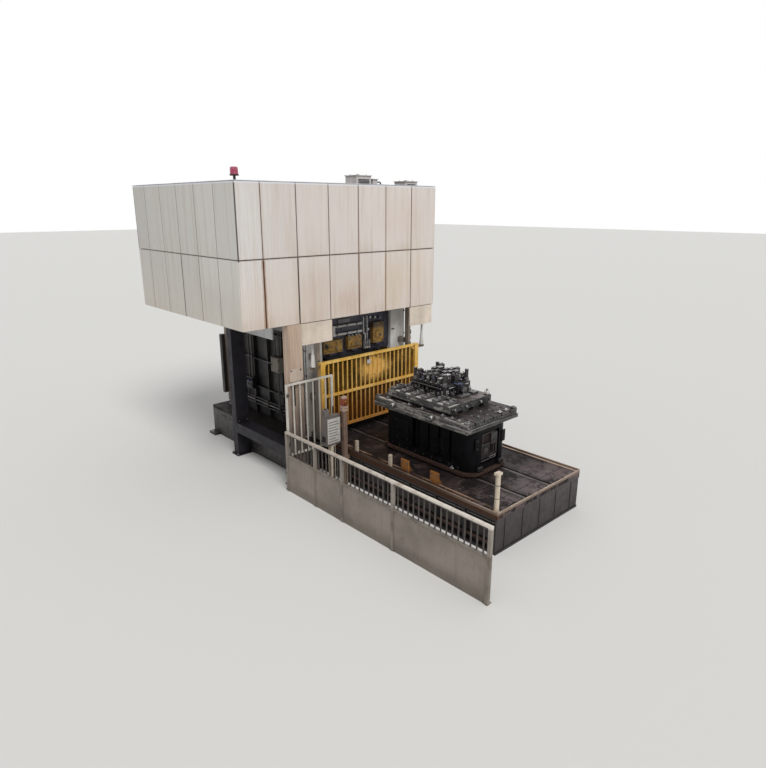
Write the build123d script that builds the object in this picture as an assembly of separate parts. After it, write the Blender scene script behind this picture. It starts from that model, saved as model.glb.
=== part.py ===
from build123d import *
import os

# Hydroforming press with its guarding, track and bolster carriage, in millimetres.
# Origin: on the floor, on the press centre line, under the middle of the slide. +X is to the right
# seen from the front, +Y runs from the front to the rear, and +Z is up.

# Clad head
HEAD_RIGHT = 1990            # cladding, from the centre line to the right face
HEAD_LEFT = 3420             # cladding, from the centre line to the overhanging left face
HEAD_DEPTH = 4710
HEAD_BOTTOM = 3610
HEAD_HEIGHT = 2810
LOWER_ROW = 1370             # height of the lower row of panels
PANEL_PITCH = 812
SIDE_PANEL_PITCH = 810
PANEL_THICK = 40
PANEL_SEAM = 14
SKIRT_DROP = 470
SKIRT_WIDTH = 810
FRAME_TUBE = 80              # square tube behind the panels

# Press frame
DAYLIGHT = 2160              # clear width between the columns
COLUMN_WIDTH = 450
COLUMN_DEPTH = 500
COLUMN_SETBACK = 575         # column faces behind the cladding's face
COLUMN_CHAMFER = 15
SIDE_FRAME_THICK = 120
RIB_THICK = 30
RIB_PROUD = 90
BED_WIDTH = 4000
BED_LIP = 215                # bed beyond the columns' faces
BED_HEIGHT = 700
DECK_PLATE = 80
FOOT_THICK = 60
FOOT_WIDTH = 160             # anchor feet beyond the bed's sides
FOOT_LENGTH = 300
ANCHOR_HOLE_R = 32
ANCHOR_EDGE = 75             # anchor hole centre from the foot's outer edge
CROWN_SETBACK = 420          # crown's faces behind the cladding's face
CROWN_GAP = 90               # crown's underside above the cladding's lower edge
CROWN_HEIGHT = 2050
GIB_WIDTH = 240              # wear strips that the slide runs between
GIB_THICK = 12

# Overhang on the left
POST_WIDTH = 350
POST_DEPTH = 200
POST_LEFT = 2390             # posts' left faces, from the centre line
REAR_POST_Y = 140            # middle of the rear post
BASE_BEAM_HEIGHT = 250
BASE_BEAM_TOP = 860
OVERHANG_BEAM = 240
SIDE_SKIRT_FRONT = 1805      # side skirt's front edge, ahead of the centre
SIDE_SKIRT_DROP = 380
SIDE_SKIRT_THICK = 30
SIDE_BOX_WIDTH = 350
SIDE_BOX_HEIGHT = 370
SIDE_BOX_DEPTH = 160
SIDE_BOX_Y = -595
SIDE_BOX_BOTTOM = 2130

# Slide
SLIDE_CLEARANCE = 20
SLIDE_SETBACK = 90           # slide's front face behind the columns' faces
SLIDE_BOTTOM = 2570
SLIDE_HEIGHT = 900
SLIDE_RAISE = 200            # travel above the height shown
SLIDE_STROKE = 700           # travel below the height shown
PLUNGER_R = 330
SIDE_PLUNGER_R = 140
SIDE_PLUNGER_X = 640
PLUNGER_REACH = 1500         # plungers above the slide's top
GLAND_CLEARANCE = 0.4
CLAMPS = ((-780, 550, 110, 285), (-120, 420, 125, 300), (640, 340, 170, 500))
CLAMP_DEPTH = 110
PIPE_R = 30
PIPE_HEIGHTS = (3080, 3270)
PIPE_LEFT = 715
PIPE_RIGHT = 150

# Lift gate
GATE_BOTTOM = 1000
GATE_HEIGHT = 1630
GATE_MARGIN = 320            # gate's side edges inside the head's right frame
GATE_POST = 120
GATE_RAIL = 60
GATE_BAR = 24
GATE_BAR_COUNT = 20
GATE_MID_RAIL = 815          # middle rail above the gate's lower edge
GATE_LIFT = 1500
GATE_OFFSET = 80             # gate's middle to the right of the press's middle
RUNNING_GAP = 10
GUIDE_WIDTH = 70
GUIDE_INSET = 70             # guides inside the columns' outer sides
GUIDE_BRACKET = 185
GUIDE_BRACKET_HEIGHT = 120
GUIDE_BRACKET_REACH = 200    # brackets across the columns' faces
LIFT_REACH = 170             # lift rods beyond the gate's side edges
LIFT_LUG = 60
LIFT_ROD_R = 28
SLEEVE_R = 55                # tapered sleeve round the rod's foot, at its lower end
SLEEVE_TOP_R = 34
SLEEVE = 290
LIFT_ROD_START = 110         # rod inside the barrel with the gate down
LIFT_BARREL_R = 58
LIFT_BARREL_WALL = 20
LIFT_BARREL_BOTTOM = 4400
LIFT_BARREL_LENGTH = 1650

# Guard panel and fence
GUARD_LEFT = 2550
GUARD_RIGHT = 1310
GUARD_TOP = 2390
GUARD_STANDOFF = 40
GUARD_TUBE = 40
GUARD_BAR = 24
GUARD_BAR_COUNT = 6
FENCE_TOP = 1370
FENCE_SHEET_TOP = 810
FENCE_BAYS = (990, 860, 1425, 2131)
FENCE_TUBE = 60
FENCE_BAR = 20
FENCE_BAR_PITCH = 125
FENCE_SHEET = 30

# Control station and signal post
CONTROL_REACH = 370          # control station's middle beyond the track's side
CONTROL_Y = -2900
CONTROL_WIDTH = 400
CONTROL_DEPTH = 140
CONTROL_HEIGHT = 650
CONTROL_BOTTOM = 1000
POLE = 110
FOOT_PLATE = 20
FOOT_REACH = 70
DUCT_WIDTH = 90             # floor duct from the pole to the track
DUCT_HEIGHT = 50
TOP_BOX = 110                # small housing on the control box
TOP_BOX_HEIGHT = 170
TOP_BOX_SHIFT = -150         # from the middle of the control box
SIGNAL_Y = -3010
SIGNAL_STANDOFF = 50
SIGNAL_POST = 95
SIGNAL_POST_TOP = 1720
SIGNAL_WIDTH = 140
SIGNAL_DEPTH = 120
SIGNAL_HEIGHT = 330

# Track
TRACK_HALF = 1370
TRACK_END = 7080             # from the centre to the track's front end
TRACK_FLANGE = 40
TRACK_WEB_SET = 90
TRACK_RIB_COUNT = 8
EDGE_ANGLE = 60              # angle bar along the edges and the front end of the track's deck
EDGE_ANGLE_THICK = 10
BUFFER_POST_R = 45
BUFFER_POST_HEIGHT = 720
BUFFER_CAP = 130
MARKER_SIZE = 60
MARKER_HEIGHT = 260
MARKER_PLACES = (-3203, -4270)
STOP_PLACES = (-4720, -5525)
STOP_THICK = 24
STOP_LENGTH = 220
STOP_HEIGHT = 300
RAIL_X = 400
SLOT_WIDTH = 110
RAIL_WIDTH = 60
RAIL_SINK = 12               # rail heads below the deck

# Bolster carriage
TABLE_HALF = 812
TABLE_FRONT = -5890
TABLE_BACK = -3250
TABLE_TOP = 1985
TABLE_THICK = 190
TABLE_STEP = 22              # the table's upper part is this much narrower all round
TABLE_LEDGE = 70             # height of its lower, wider part
T_SLOT_COUNT = 5
T_SLOT_PITCH = 280
T_SLOT_WIDTH = 36
T_SLOT_FOOT = 60
T_SLOT_DEPTH = 30
BODY_SIDE_INSET = 227        # body inside the table's long edges
BODY_END_INSET = 67
BODY_RADIUS = 250
BODY_BOTTOM = 830
RIM_REACH = 65
RIM_HEIGHT = 60
WHEEL_R = 140
WHEEL_WIDTH = 56
WHEEL_BASE = 1700
WHEEL_POCKET = 20
PANEL_RECESS = 60            # recesses in the carriage's long sides and ends
PANEL_MARGIN = 120
FRONT_PILLAR = 490           # body left whole at each end of the side recesses
BACK_PILLAR = 900
END_PILLAR = 300
PIN_R = 45                   # lifting pins in the table's long edges
PIN_REACH = 70
PIN_PLACES = (-4970, -3860)

# Die on the carriage
RISER_HEIGHT = 55
RISER_WIDTH = 160
SHOE_WIDTH = 1310
SHOE_LENGTH = 1750
SHOE_THICK = 140
SHOE_Y = -4425
DIE_X = 180
DIE_Y = -4300
DIE_WIDTH = 820
DIE_LENGTH = 960
DIE_HEIGHT = 200
CAVITY_R = 55
FEED_R = 80
FEED_LENGTH = 190
FEED_BLOCK = 220
PILLAR_R = 40
PILLAR_HEIGHT = 260
BLOCK_COUNT = 5              # rows of blocks along the die's cavity
BLOCK_WIDTH = 130
BLOCK_DEPTH = 95
BLOCK_END = 180              # first row's middle, from the die's end
BLOCK_HEIGHT = 150
BLOCK_STEP = 40              # blocks stand in three heights
SHOE_CLAMP_COUNT = 6         # clamp bars along the shoe's left edge
SHOE_CLAMP_WIDTH = 120
SHOE_CLAMP_REACH = 300
SHOE_CLAMP_HEIGHT = 60

# Roof
ROOF_DECK = 20
ROOF_DROP = 110
TRIM_THICK = 12
UNITS = ((-70, 440, 310), (420, 140, 240), (1470, 400, 220))
UNIT_DEPTH = 380
UNIT_FRONT = 500             # roof units behind the front cladding's face
BEACON_R = 85
BEACON_HEIGHT = 160
STEM_R = 25
STEM_HEIGHT = 70
STEM_INSET = 60

HEAD_TOP = HEAD_BOTTOM + HEAD_HEIGHT
FRONT = -HEAD_DEPTH / 2
REAR = HEAD_DEPTH / 2
FRAME_IN = PANEL_THICK + FRAME_TUBE
CROWN_HALF = HEAD_RIGHT - FRAME_IN
COLUMN_IN = DAYLIGHT / 2
COLUMN_OUT = COLUMN_IN + COLUMN_WIDTH
COLUMN_FACE = REAR - COLUMN_SETBACK
CROWN_FACE = REAR - CROWN_SETBACK
BED_HALF = COLUMN_FACE + BED_LIP
BED_TOP = BED_HEIGHT + DECK_PLATE
CROWN_BOTTOM = HEAD_BOTTOM + CROWN_GAP
SLIDE_TOP = SLIDE_BOTTOM + SLIDE_HEIGHT
GATE_TOP = GATE_BOTTOM + GATE_HEIGHT
GATE_HALF = CROWN_HALF - GATE_MARGIN
GATE_FRONT = FRONT + FRAME_IN + RUNNING_GAP
GATE_BACK = GATE_FRONT + GATE_POST
GUIDE_FACE = -(GATE_BACK + RUNNING_GAP)
GATE_Y = (GATE_FRONT + GATE_BACK) / 2
GUIDE_OUT = COLUMN_OUT - GUIDE_INSET
LIFT_X = GATE_HALF + LIFT_REACH
GUARD_FACE = FRONT - GUARD_STANDOFF - GUARD_TUBE
TABLE_BOTTOM = TABLE_TOP - TABLE_THICK
TABLE_Y = (TABLE_FRONT + TABLE_BACK) / 2
SHOE_BOTTOM = TABLE_TOP + RISER_HEIGHT
SHOE_TOP = SHOE_BOTTOM + SHOE_THICK
DIE_TOP = SHOE_TOP + DIE_HEIGHT
RAIL_TOP = BED_TOP - RAIL_SINK
ROOF_TOP = HEAD_TOP - ROOF_DROP
FENCE_X = -GUARD_LEFT - FENCE_TUBE / 2
CONTROL_X = -TRACK_HALF - CONTROL_REACH


def block(x0, x1, y0, y1, z0, z1):
    """A box from its six faces."""
    return Pos((x0 + x1) / 2, (y0 + y1) / 2, (z0 + z1) / 2) * Box(x1 - x0, y1 - y0, z1 - z0)


def upright(x, y, z0, z1, r):
    """An upright round bar."""
    return Pos(x, y, (z0 + z1) / 2) * Cylinder(r, z1 - z0)


def along_x(x0, x1, y, z, r):
    """A level round bar along X."""
    return Pos((x0 + x1) / 2, y, z) * Rot(0, 90, 0) * Cylinder(r, x1 - x0)


def along_y(x, y0, y1, z, r):
    """A level round bar along Y."""
    return Pos(x, (y0 + y1) / 2, z) * Rot(90, 0, 0) * Cylinder(r, y1 - y0)


def join(solids):
    """One shape from solids that touch or cross."""
    result = solids[0]
    for solid in solids[1:]:
        result = result + solid
    return result


def save(name, solids):
    """Write one node, whose solids may lie apart."""
    shape = solids[0] if len(solids) == 1 else Compound(children=list(solids))
    export_step(shape, f"parts/{name}.step")


def spread(first, last, gaps):
    """Evenly spaced places from first to last, both included."""
    return [first + (last - first) * i / gaps for i in range(gaps + 1)]


def seams(start, end, pitch, first):
    """Edges of a row of panels: the first panel's width, then equal ones, the last as it comes."""
    edges = [start, start + first]
    while edges[-1] + pitch * 1.25 < end:
        edges.append(edges[-1] + pitch)
    edges.append(end)
    return edges


FRONT_SEAMS = seams(-HEAD_LEFT, HEAD_RIGHT, PANEL_PITCH, HEAD_LEFT + HEAD_RIGHT - 6 * PANEL_PITCH)
SIDE_SEAMS = seams(FRONT, REAR, SIDE_PANEL_PITCH, SIDE_PANEL_PITCH)
ROWS = ((HEAD_BOTTOM, HEAD_BOTTOM + LOWER_ROW), (HEAD_BOTTOM + LOWER_ROW, HEAD_TOP))


def panel_rows(edges, place):
    """Two rows of flat panels with open seams; place makes one panel from its four edges."""
    half = PANEL_SEAM / 2
    panels = []
    for z0, z1 in ROWS:
        for a, b in zip(edges, edges[1:]):
            panels.append(place(a + half, b - half, z0 + half, z1 - half))
    return panels


def cladding():
    """Panels on the four sides; the front and rear ones cover the corners."""
    inner_front = FRONT + PANEL_THICK
    inner_rear = REAR - PANEL_THICK

    def front(a, b, z0, z1):
        return block(a, b, FRONT, inner_front, z0, z1)

    def rear(a, b, z0, z1):
        return block(a, b, inner_rear, REAR, z0, z1)

    def left(a, b, z0, z1):
        x = -HEAD_LEFT
        return block(x, x + PANEL_THICK, max(a, inner_front), min(b, inner_rear), z0, z1)

    def right(a, b, z0, z1):
        x = HEAD_RIGHT
        return block(x - PANEL_THICK, x, max(a, inner_front), min(b, inner_rear), z0, z1)

    save("front_cladding", panel_rows(FRONT_SEAMS, front))
    save("rear_cladding", panel_rows(FRONT_SEAMS, rear))
    save("left_cladding", panel_rows(SIDE_SEAMS, left))
    save("right_cladding", panel_rows(SIDE_SEAMS, right))


def cladding_frame():
    """Three rings of square tube behind the panels and an upright behind each seam."""
    x0 = -HEAD_LEFT + PANEL_THICK
    x1 = HEAD_RIGHT - PANEL_THICK
    y0 = FRONT + PANEL_THICK
    y1 = REAR - PANEL_THICK
    t = FRAME_TUBE
    tubes = []
    for z in (HEAD_BOTTOM, HEAD_BOTTOM + LOWER_ROW - t / 2, HEAD_TOP - t):
        tubes.append(block(x0, x1, y0, y0 + t, z, z + t))
        tubes.append(block(x0, x1, y1 - t, y1, z, z + t))
        tubes.append(block(x0, x0 + t, y0, y1, z, z + t))
        tubes.append(block(x1 - t, x1, y0, y1, z, z + t))
    for x in FRONT_SEAMS[1:-1]:
        tubes.append(block(x - t / 2, x + t / 2, y0, y0 + t, HEAD_BOTTOM, HEAD_TOP))
        tubes.append(block(x - t / 2, x + t / 2, y1 - t, y1, HEAD_BOTTOM, HEAD_TOP))
    for y in SIDE_SEAMS[1:-1]:
        tubes.append(block(x0, x0 + t, y - t / 2, y + t / 2, HEAD_BOTTOM, HEAD_TOP))
        tubes.append(block(x1 - t, x1, y - t / 2, y + t / 2, HEAD_BOTTOM, HEAD_TOP))
    save("cladding_frame", [join(tubes)])


def skirts():
    """Plates that hang from the head's frame, in front, at the rear and on the left."""
    z0 = HEAD_BOTTOM - SKIRT_DROP
    left = POST_WIDTH - POST_LEFT
    for name, y0 in (("front_skirts", FRONT), ("rear_skirts", REAR - PANEL_THICK)):
        hang = FRAME_TUBE / 2
        y1 = y0 + PANEL_THICK
        strip0 = y1 if y0 < 0 else y0 - hang
        pair = []
        for x0, x1 in ((left, left + SKIRT_WIDTH), (HEAD_RIGHT - SKIRT_WIDTH, HEAD_RIGHT - PANEL_THICK)):
            plate = block(x0, x1, y0, y1, z0, HEAD_BOTTOM)
            lip = block(x0, x1, strip0, strip0 + hang, HEAD_BOTTOM - hang, HEAD_BOTTOM)
            pair.append(plate + lip)
        save(name, pair)
    x = -POST_LEFT
    back = REAR_POST_Y + POST_DEPTH / 2
    save("left_side_skirt", [block(x - SIDE_SKIRT_THICK, x, -SIDE_SKIRT_FRONT, back,
                                   HEAD_BOTTOM - SIDE_SKIRT_DROP, CROWN_BOTTOM)])


def deck_strips(y0, y1, half):
    """Deck plates with a slot over each rail."""
    strips = []
    inner = RAIL_X - SLOT_WIDTH / 2
    outer = RAIL_X + SLOT_WIDTH / 2
    for x0, x1 in ((-half, -outer), (-inner, inner), (outer, half)):
        strips.append(block(x0, x1, y0, y1, BED_HEIGHT, BED_TOP))
    return strips


def bed():
    """Bed weldment, its deck plates, and an anchor foot at each corner."""
    w = BED_WIDTH / 2
    d = BED_HALF
    foot_x = w + FOOT_WIDTH
    hole_x = foot_x - ANCHOR_EDGE
    hole_y = d - FOOT_LENGTH / 2
    save("bed", [block(-w, w, -d, d, 0, BED_HEIGHT)])
    save("bed_deck", deck_strips(-d, d, w))
    feet = []
    for side in (-1, 1):
        x0, x1 = sorted((side * w, side * foot_x))
        for y in (-hole_y, hole_y):
            foot = block(x0, x1, y - FOOT_LENGTH / 2, y + FOOT_LENGTH / 2, 0, FOOT_THICK)
            feet.append(foot - upright(side * hole_x, y, -FOOT_THICK, 2 * FOOT_THICK, ANCHOR_HOLE_R))
    save("anchor_feet", feet)


def columns():
    """Four box columns and the ribbed side frames between them."""
    back = COLUMN_FACE - COLUMN_DEPTH
    posts = []
    for y0 in (-COLUMN_FACE, back):
        for x0 in (-COLUMN_OUT, COLUMN_IN):
            column = block(x0, x0 + COLUMN_WIDTH, y0, y0 + COLUMN_DEPTH, BED_TOP, CROWN_BOTTOM)
            posts.append(chamfer(column.edges().filter_by(Axis.Z), COLUMN_CHAMFER))
    save("columns", posts)
    gibs = []
    inset = COLUMN_DEPTH / 2 - GIB_WIDTH / 2
    for side in (-1, 1):
        x0, x1 = sorted((side * COLUMN_IN, side * (COLUMN_IN - GIB_THICK)))
        for y0 in (-COLUMN_FACE + inset, COLUMN_FACE - inset - GIB_WIDTH):
            gibs.append(block(x0, x1, y0, y0 + GIB_WIDTH, SLIDE_BOTTOM - SLIDE_STROKE, CROWN_BOTTOM))
    save("slide_gibs", gibs)
    middle = (COLUMN_IN + COLUMN_OUT) / 2
    tall = CROWN_BOTTOM - BED_TOP
    z = (CROWN_BOTTOM + BED_TOP) / 2
    frames = []
    for side in (-1, 1):
        web = Pos(side * middle, 0, z) * Box(SIDE_FRAME_THICK, 2 * back, tall)
        rib_x = side * (middle + SIDE_FRAME_THICK / 2 + RIB_PROUD / 2)
        for rib_z in spread(BED_TOP, CROWN_BOTTOM, 4)[1:-1]:
            web = web + Pos(rib_x, 0, rib_z) * Box(RIB_PROUD, 2 * back, RIB_THICK)
        for rib_y in spread(-back, back, 4)[1:-1]:
            web = web + Pos(rib_x, rib_y, z) * Box(RIB_PROUD, RIB_THICK, tall)
        frames.append(web)
    save("side_frames", frames)
    face = -(middle + SIDE_FRAME_THICK / 2 + RIB_PROUD)
    save("side_junction_box", [block(face - SIDE_BOX_DEPTH, face, SIDE_BOX_Y - SIDE_BOX_WIDTH / 2,
                                     SIDE_BOX_Y + SIDE_BOX_WIDTH / 2, SIDE_BOX_BOTTOM,
                                     SIDE_BOX_BOTTOM + SIDE_BOX_HEIGHT)])


def crown():
    """Crown weldment, bored from below for the three plungers."""
    d = CROWN_FACE
    shape = block(-CROWN_HALF, CROWN_HALF, -d, d, CROWN_BOTTOM, CROWN_BOTTOM + CROWN_HEIGHT)
    top = SLIDE_TOP + PLUNGER_REACH + SLIDE_RAISE + RUNNING_GAP
    for x, r in ((0, PLUNGER_R), (-SIDE_PLUNGER_X, SIDE_PLUNGER_R), (SIDE_PLUNGER_X, SIDE_PLUNGER_R)):
        shape = shape - upright(x, 0, CROWN_BOTTOM - RUNNING_GAP, top, r + GLAND_CLEARANCE)
    save("crown", [shape])


def overhang():
    """Beams under the head's left end, the two posts and the beam between their feet."""
    x0 = -HEAD_LEFT + FRAME_IN
    b = OVERHANG_BEAM
    beams = []
    for y in SIDE_SEAMS[1:-1:2]:
        beams.append(block(x0, -CROWN_HALF, y - b / 2, y + b / 2, CROWN_BOTTOM, CROWN_BOTTOM + b))
    px0 = -POST_LEFT
    px1 = px0 + POST_WIDTH
    front_back = FRONT + POST_DEPTH
    rear_front = REAR_POST_Y - POST_DEPTH / 2
    rear_back = REAR_POST_Y + POST_DEPTH / 2
    side_bottom = CROWN_BOTTOM - b
    beams.append(block(px0, px1, front_back, SIDE_SEAMS[-2] + b / 2, side_bottom, CROWN_BOTTOM))
    save("overhang_beams", [join(beams)])
    save("left_front_post", [block(px0, px1, FRONT, front_back, 0, HEAD_BOTTOM)])
    save("left_rear_post", [block(px0, px1, rear_front, rear_back, 0, side_bottom)])
    save("left_base_beam", [block(px0, px1, front_back, rear_front,
                                  BASE_BEAM_TOP - BASE_BEAM_HEIGHT, BASE_BEAM_TOP)])


def slide():
    """Slide, its three plungers, the yellow clamp blocks and the two pipes on its front."""
    w = COLUMN_IN - SLIDE_CLEARANCE
    d = COLUMN_FACE - SLIDE_SETBACK
    body = block(-w, w, -d, d, SLIDE_BOTTOM, SLIDE_TOP)
    save("slide", [chamfer(body.edges().filter_by(Axis.Z), COLUMN_CHAMFER)])
    top = SLIDE_TOP + PLUNGER_REACH
    save("slide_plungers", [
        upright(0, 0, SLIDE_TOP, top, PLUNGER_R),
        upright(-SIDE_PLUNGER_X, 0, SLIDE_TOP, top, SIDE_PLUNGER_R),
        upright(SIDE_PLUNGER_X, 0, SLIDE_TOP, top, SIDE_PLUNGER_R),
    ])
    clamps = []
    for x, width, rise, height in CLAMPS:
        clamps.append(block(x - width / 2, x + width / 2, -d - CLAMP_DEPTH, -d,
                            SLIDE_BOTTOM + rise, SLIDE_BOTTOM + rise + height))
    save("slide_clamp_blocks", clamps)
    y = -d - 1.5 * PIPE_R
    low, high = PIPE_HEIGHTS
    pipes = [block(-PIPE_LEFT - PIPE_R, -PIPE_LEFT + PIPE_R, y - PIPE_R, -d, low - PIPE_R, high + PIPE_R)]
    for z in PIPE_HEIGHTS:
        pipes.append(along_x(-PIPE_LEFT, PIPE_RIGHT, y, z, PIPE_R))
        pipes.append(block(PIPE_RIGHT - 3 * PIPE_R, PIPE_RIGHT - PIPE_R, y, -d, z - PIPE_R, z + PIPE_R))
    save("slide_front_pipes", [join(pipes)])


def barred_frame(half, bottom, top, y0, y1, mid):
    """A frame with two side posts, three rails and upright bars fused into them."""
    y = (y0 + y1) / 2
    r = GATE_RAIL / 2
    b = GATE_BAR / 2
    pieces = [
        block(-half, -half + GATE_POST, y0, y1, bottom, top),
        block(half - GATE_POST, half, y0, y1, bottom, top),
    ]
    for z in (bottom + r, bottom + mid, top - r):
        pieces.append(block(-half + GATE_POST, half - GATE_POST, y - r, y + r, z - r, z + r))
    for x in spread(-half + GATE_POST, half - GATE_POST, GATE_BAR_COUNT + 1)[1:-1]:
        pieces.append(block(x - b, x + b, y - b, y + b, bottom + GATE_RAIL, top - GATE_RAIL))
    return join(pieces)


def gate():
    """Lift gate with its rods, the guides on the columns, the lift barrels, and the rear screen."""
    half = GATE_HALF
    frame = barred_frame(half, GATE_BOTTOM, GATE_TOP, GATE_FRONT, GATE_BACK, GATE_MID_RAIL)
    lug_top = GATE_TOP - LIFT_LUG
    for side in (-1, 1):
        x0, x1 = sorted((side * half, side * (LIFT_X + LIFT_LUG)))
        frame = frame + block(x0, x1, GATE_Y - LIFT_LUG / 2, GATE_Y + LIFT_LUG / 2,
                              lug_top - LIFT_LUG, lug_top)
    save("lift_gate", [Pos(GATE_OFFSET, 0, 0) * frame])
    rod_top = LIFT_BARREL_BOTTOM + LIFT_ROD_START
    rods = []
    for s in (-1, 1):
        x = GATE_OFFSET + s * LIFT_X
        sleeve = Pos(x, GATE_Y, lug_top + SLEEVE / 2) * Cone(SLEEVE_R, SLEEVE_TOP_R, SLEEVE)
        rods.append(sleeve + upright(x, GATE_Y, lug_top, rod_top, LIFT_ROD_R))
    save("gate_lift_rods", rods)
    barrels = []
    top = LIFT_BARREL_BOTTOM + LIFT_BARREL_LENGTH
    ring = HEAD_BOTTOM + LOWER_ROW
    for s in (-1, 1):
        x = GATE_OFFSET + s * LIFT_X
        barrel = upright(x, GATE_Y, LIFT_BARREL_BOTTOM, top, LIFT_BARREL_R)
        barrel = barrel + block(x - LIFT_BARREL_R, x + LIFT_BARREL_R, FRONT + FRAME_IN, GATE_Y,
                                ring - FRAME_TUBE / 2, ring + FRAME_TUBE / 2)
        barrel = barrel - upright(x, GATE_Y, LIFT_BARREL_BOTTOM - RUNNING_GAP, top - LIFT_BARREL_WALL,
                                  LIFT_ROD_R + GLAND_CLEARANCE)
        barrels.append(barrel)
    save("gate_lift_barrels", barrels)
    for name, sign in (("front_gate_guides", -1), ("rear_screen_posts", 1)):
        pair = []
        top = GATE_TOP + GATE_LIFT if sign < 0 else CROWN_BOTTOM
        rail0, rail1 = sorted((sign * GUIDE_FACE, sign * (COLUMN_FACE + GUIDE_BRACKET)))
        back0, back1 = sorted((sign * COLUMN_FACE, sign * (COLUMN_FACE + GUIDE_BRACKET)))
        for s in (-1, 1):
            x0, x1 = sorted((s * (GUIDE_OUT - GUIDE_WIDTH), s * GUIDE_OUT))
            b0, b1 = sorted((s * (COLUMN_OUT - GUIDE_BRACKET_REACH), s * GUIDE_OUT))
            post = block(x0, x1, rail0, rail1, BED_TOP, top)
            for z in spread(BED_TOP, CROWN_BOTTOM - GUIDE_BRACKET_HEIGHT, 3):
                post = post + block(b0, b1, back0, back1, z, z + GUIDE_BRACKET_HEIGHT)
            pair.append(post)
        save(name, pair)
    save("rear_guard_screen", [barred_frame(half, GATE_BOTTOM, GATE_TOP, GUIDE_FACE,
                                            GUIDE_FACE + GATE_POST, GATE_MID_RAIL)])


def guarding():
    """White barred guard panel beside the gate, its corner post, and the low fence from that corner."""
    t = GUARD_TUBE
    b = GUARD_BAR / 2
    y0 = GUARD_FACE
    y1 = GUARD_FACE + t
    y = y0 + t / 2
    left = -GUARD_LEFT + t
    post_x = -POST_LEFT + POST_WIDTH / 2
    corner = block(-GUARD_LEFT, left, y0, y1, 0, GUARD_TOP)
    save("guard_corner_post", [corner])
    pieces = [
        block(-GUARD_RIGHT - t, -GUARD_RIGHT, y0, y1, BED_TOP, GUARD_TOP),
        block(left, -GUARD_RIGHT, y0, y1, GUARD_TOP - t, GUARD_TOP),
        block(left, -GUARD_RIGHT, y0, y1, BED_TOP, BED_TOP + t),
    ]
    for x in spread(-GUARD_LEFT + t / 2, -GUARD_RIGHT - t / 2, GUARD_BAR_COUNT + 1)[1:-1]:
        pieces.append(block(x - b, x + b, y - b, y + b, BED_TOP, GUARD_TOP - t / 2))
    for z in (BED_TOP + t / 2, GUARD_TOP - t / 2):
        pieces.append(block(post_x - t, post_x + t, y1, FRONT, z - t / 2, z + t / 2))
    save("guard_panel", [join(pieces)])
    x = FENCE_X
    f = FENCE_BAR / 2
    r = FENCE_TUBE / 2
    posts = [-GUARD_FACE]
    for bay in FENCE_BAYS:
        posts.append(posts[-1] + bay)
    end0 = -posts[-1] - r
    end1 = -posts[0] + r
    rails = [
        block(x - r, x + r, end0, end1, FENCE_TOP - FENCE_TUBE, FENCE_TOP),
        block(x - r, x + r, end0, end1, FENCE_SHEET_TOP, FENCE_SHEET_TOP + FENCE_SHEET),
    ]
    for p in posts:
        rails.append(block(x - r, x + r, -p - r, -p + r, 0, FENCE_TOP))
    sheets = []
    for a, c in zip(posts, posts[1:]):
        gaps = round((c - a) / FENCE_BAR_PITCH)
        for p in spread(a, c, gaps)[1:-1]:
            rails.append(block(x - f, x + f, -p - f, -p + f, FENCE_SHEET_TOP, FENCE_TOP - r))
        sheets.append(block(x - FENCE_SHEET / 2, x + FENCE_SHEET / 2, -c + r, -a - r, 0, FENCE_SHEET_TOP))
    save("fence_rails", [join(rails)])
    save("fence_sheets", sheets)


def stations():
    """Control box on its pole, and the signal unit on a post at the track's side."""
    foot = POLE / 2 + FOOT_REACH
    pole = block(CONTROL_X - POLE / 2, CONTROL_X + POLE / 2, CONTROL_Y - POLE / 2, CONTROL_Y + POLE / 2,
                 0, CONTROL_BOTTOM)
    pole = pole + block(CONTROL_X - foot, CONTROL_X + foot, CONTROL_Y - foot, CONTROL_Y + foot,
                        0, FOOT_PLATE)
    duct = block(CONTROL_X, -TRACK_HALF, CONTROL_Y - DUCT_WIDTH / 2, CONTROL_Y + DUCT_WIDTH / 2,
                 0, DUCT_HEIGHT)
    save("control_pole", [pole + duct])
    box = block(CONTROL_X - CONTROL_WIDTH / 2, CONTROL_X + CONTROL_WIDTH / 2,
                CONTROL_Y - CONTROL_DEPTH / 2, CONTROL_Y + CONTROL_DEPTH / 2,
                CONTROL_BOTTOM, CONTROL_BOTTOM + CONTROL_HEIGHT)
    top = CONTROL_BOTTOM + CONTROL_HEIGHT
    x = CONTROL_X + TOP_BOX_SHIFT
    housing = block(x - TOP_BOX / 2, x + TOP_BOX / 2, CONTROL_Y - TOP_BOX / 2,
                    CONTROL_Y + TOP_BOX / 2, top, top + TOP_BOX_HEIGHT)
    save("control_box", [box + housing])
    x1 = -TRACK_HALF - SIGNAL_STANDOFF
    x0 = x1 - SIGNAL_POST
    s = SIGNAL_POST / 2
    post = block(x0, x1, SIGNAL_Y - s, SIGNAL_Y + s, 0, SIGNAL_POST_TOP)
    post = post + block(x1, -TRACK_HALF, SIGNAL_Y - s, SIGNAL_Y + s, BED_HEIGHT - SIGNAL_POST, BED_HEIGHT)
    save("signal_post", [post])
    x = (x0 + x1) / 2
    save("signal_unit", [block(x - SIGNAL_WIDTH / 2, x + SIGNAL_WIDTH / 2, SIGNAL_Y - SIGNAL_DEPTH / 2,
                               SIGNAL_Y + SIGNAL_DEPTH / 2, SIGNAL_POST_TOP,
                               SIGNAL_POST_TOP + SIGNAL_HEIGHT)])


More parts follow.
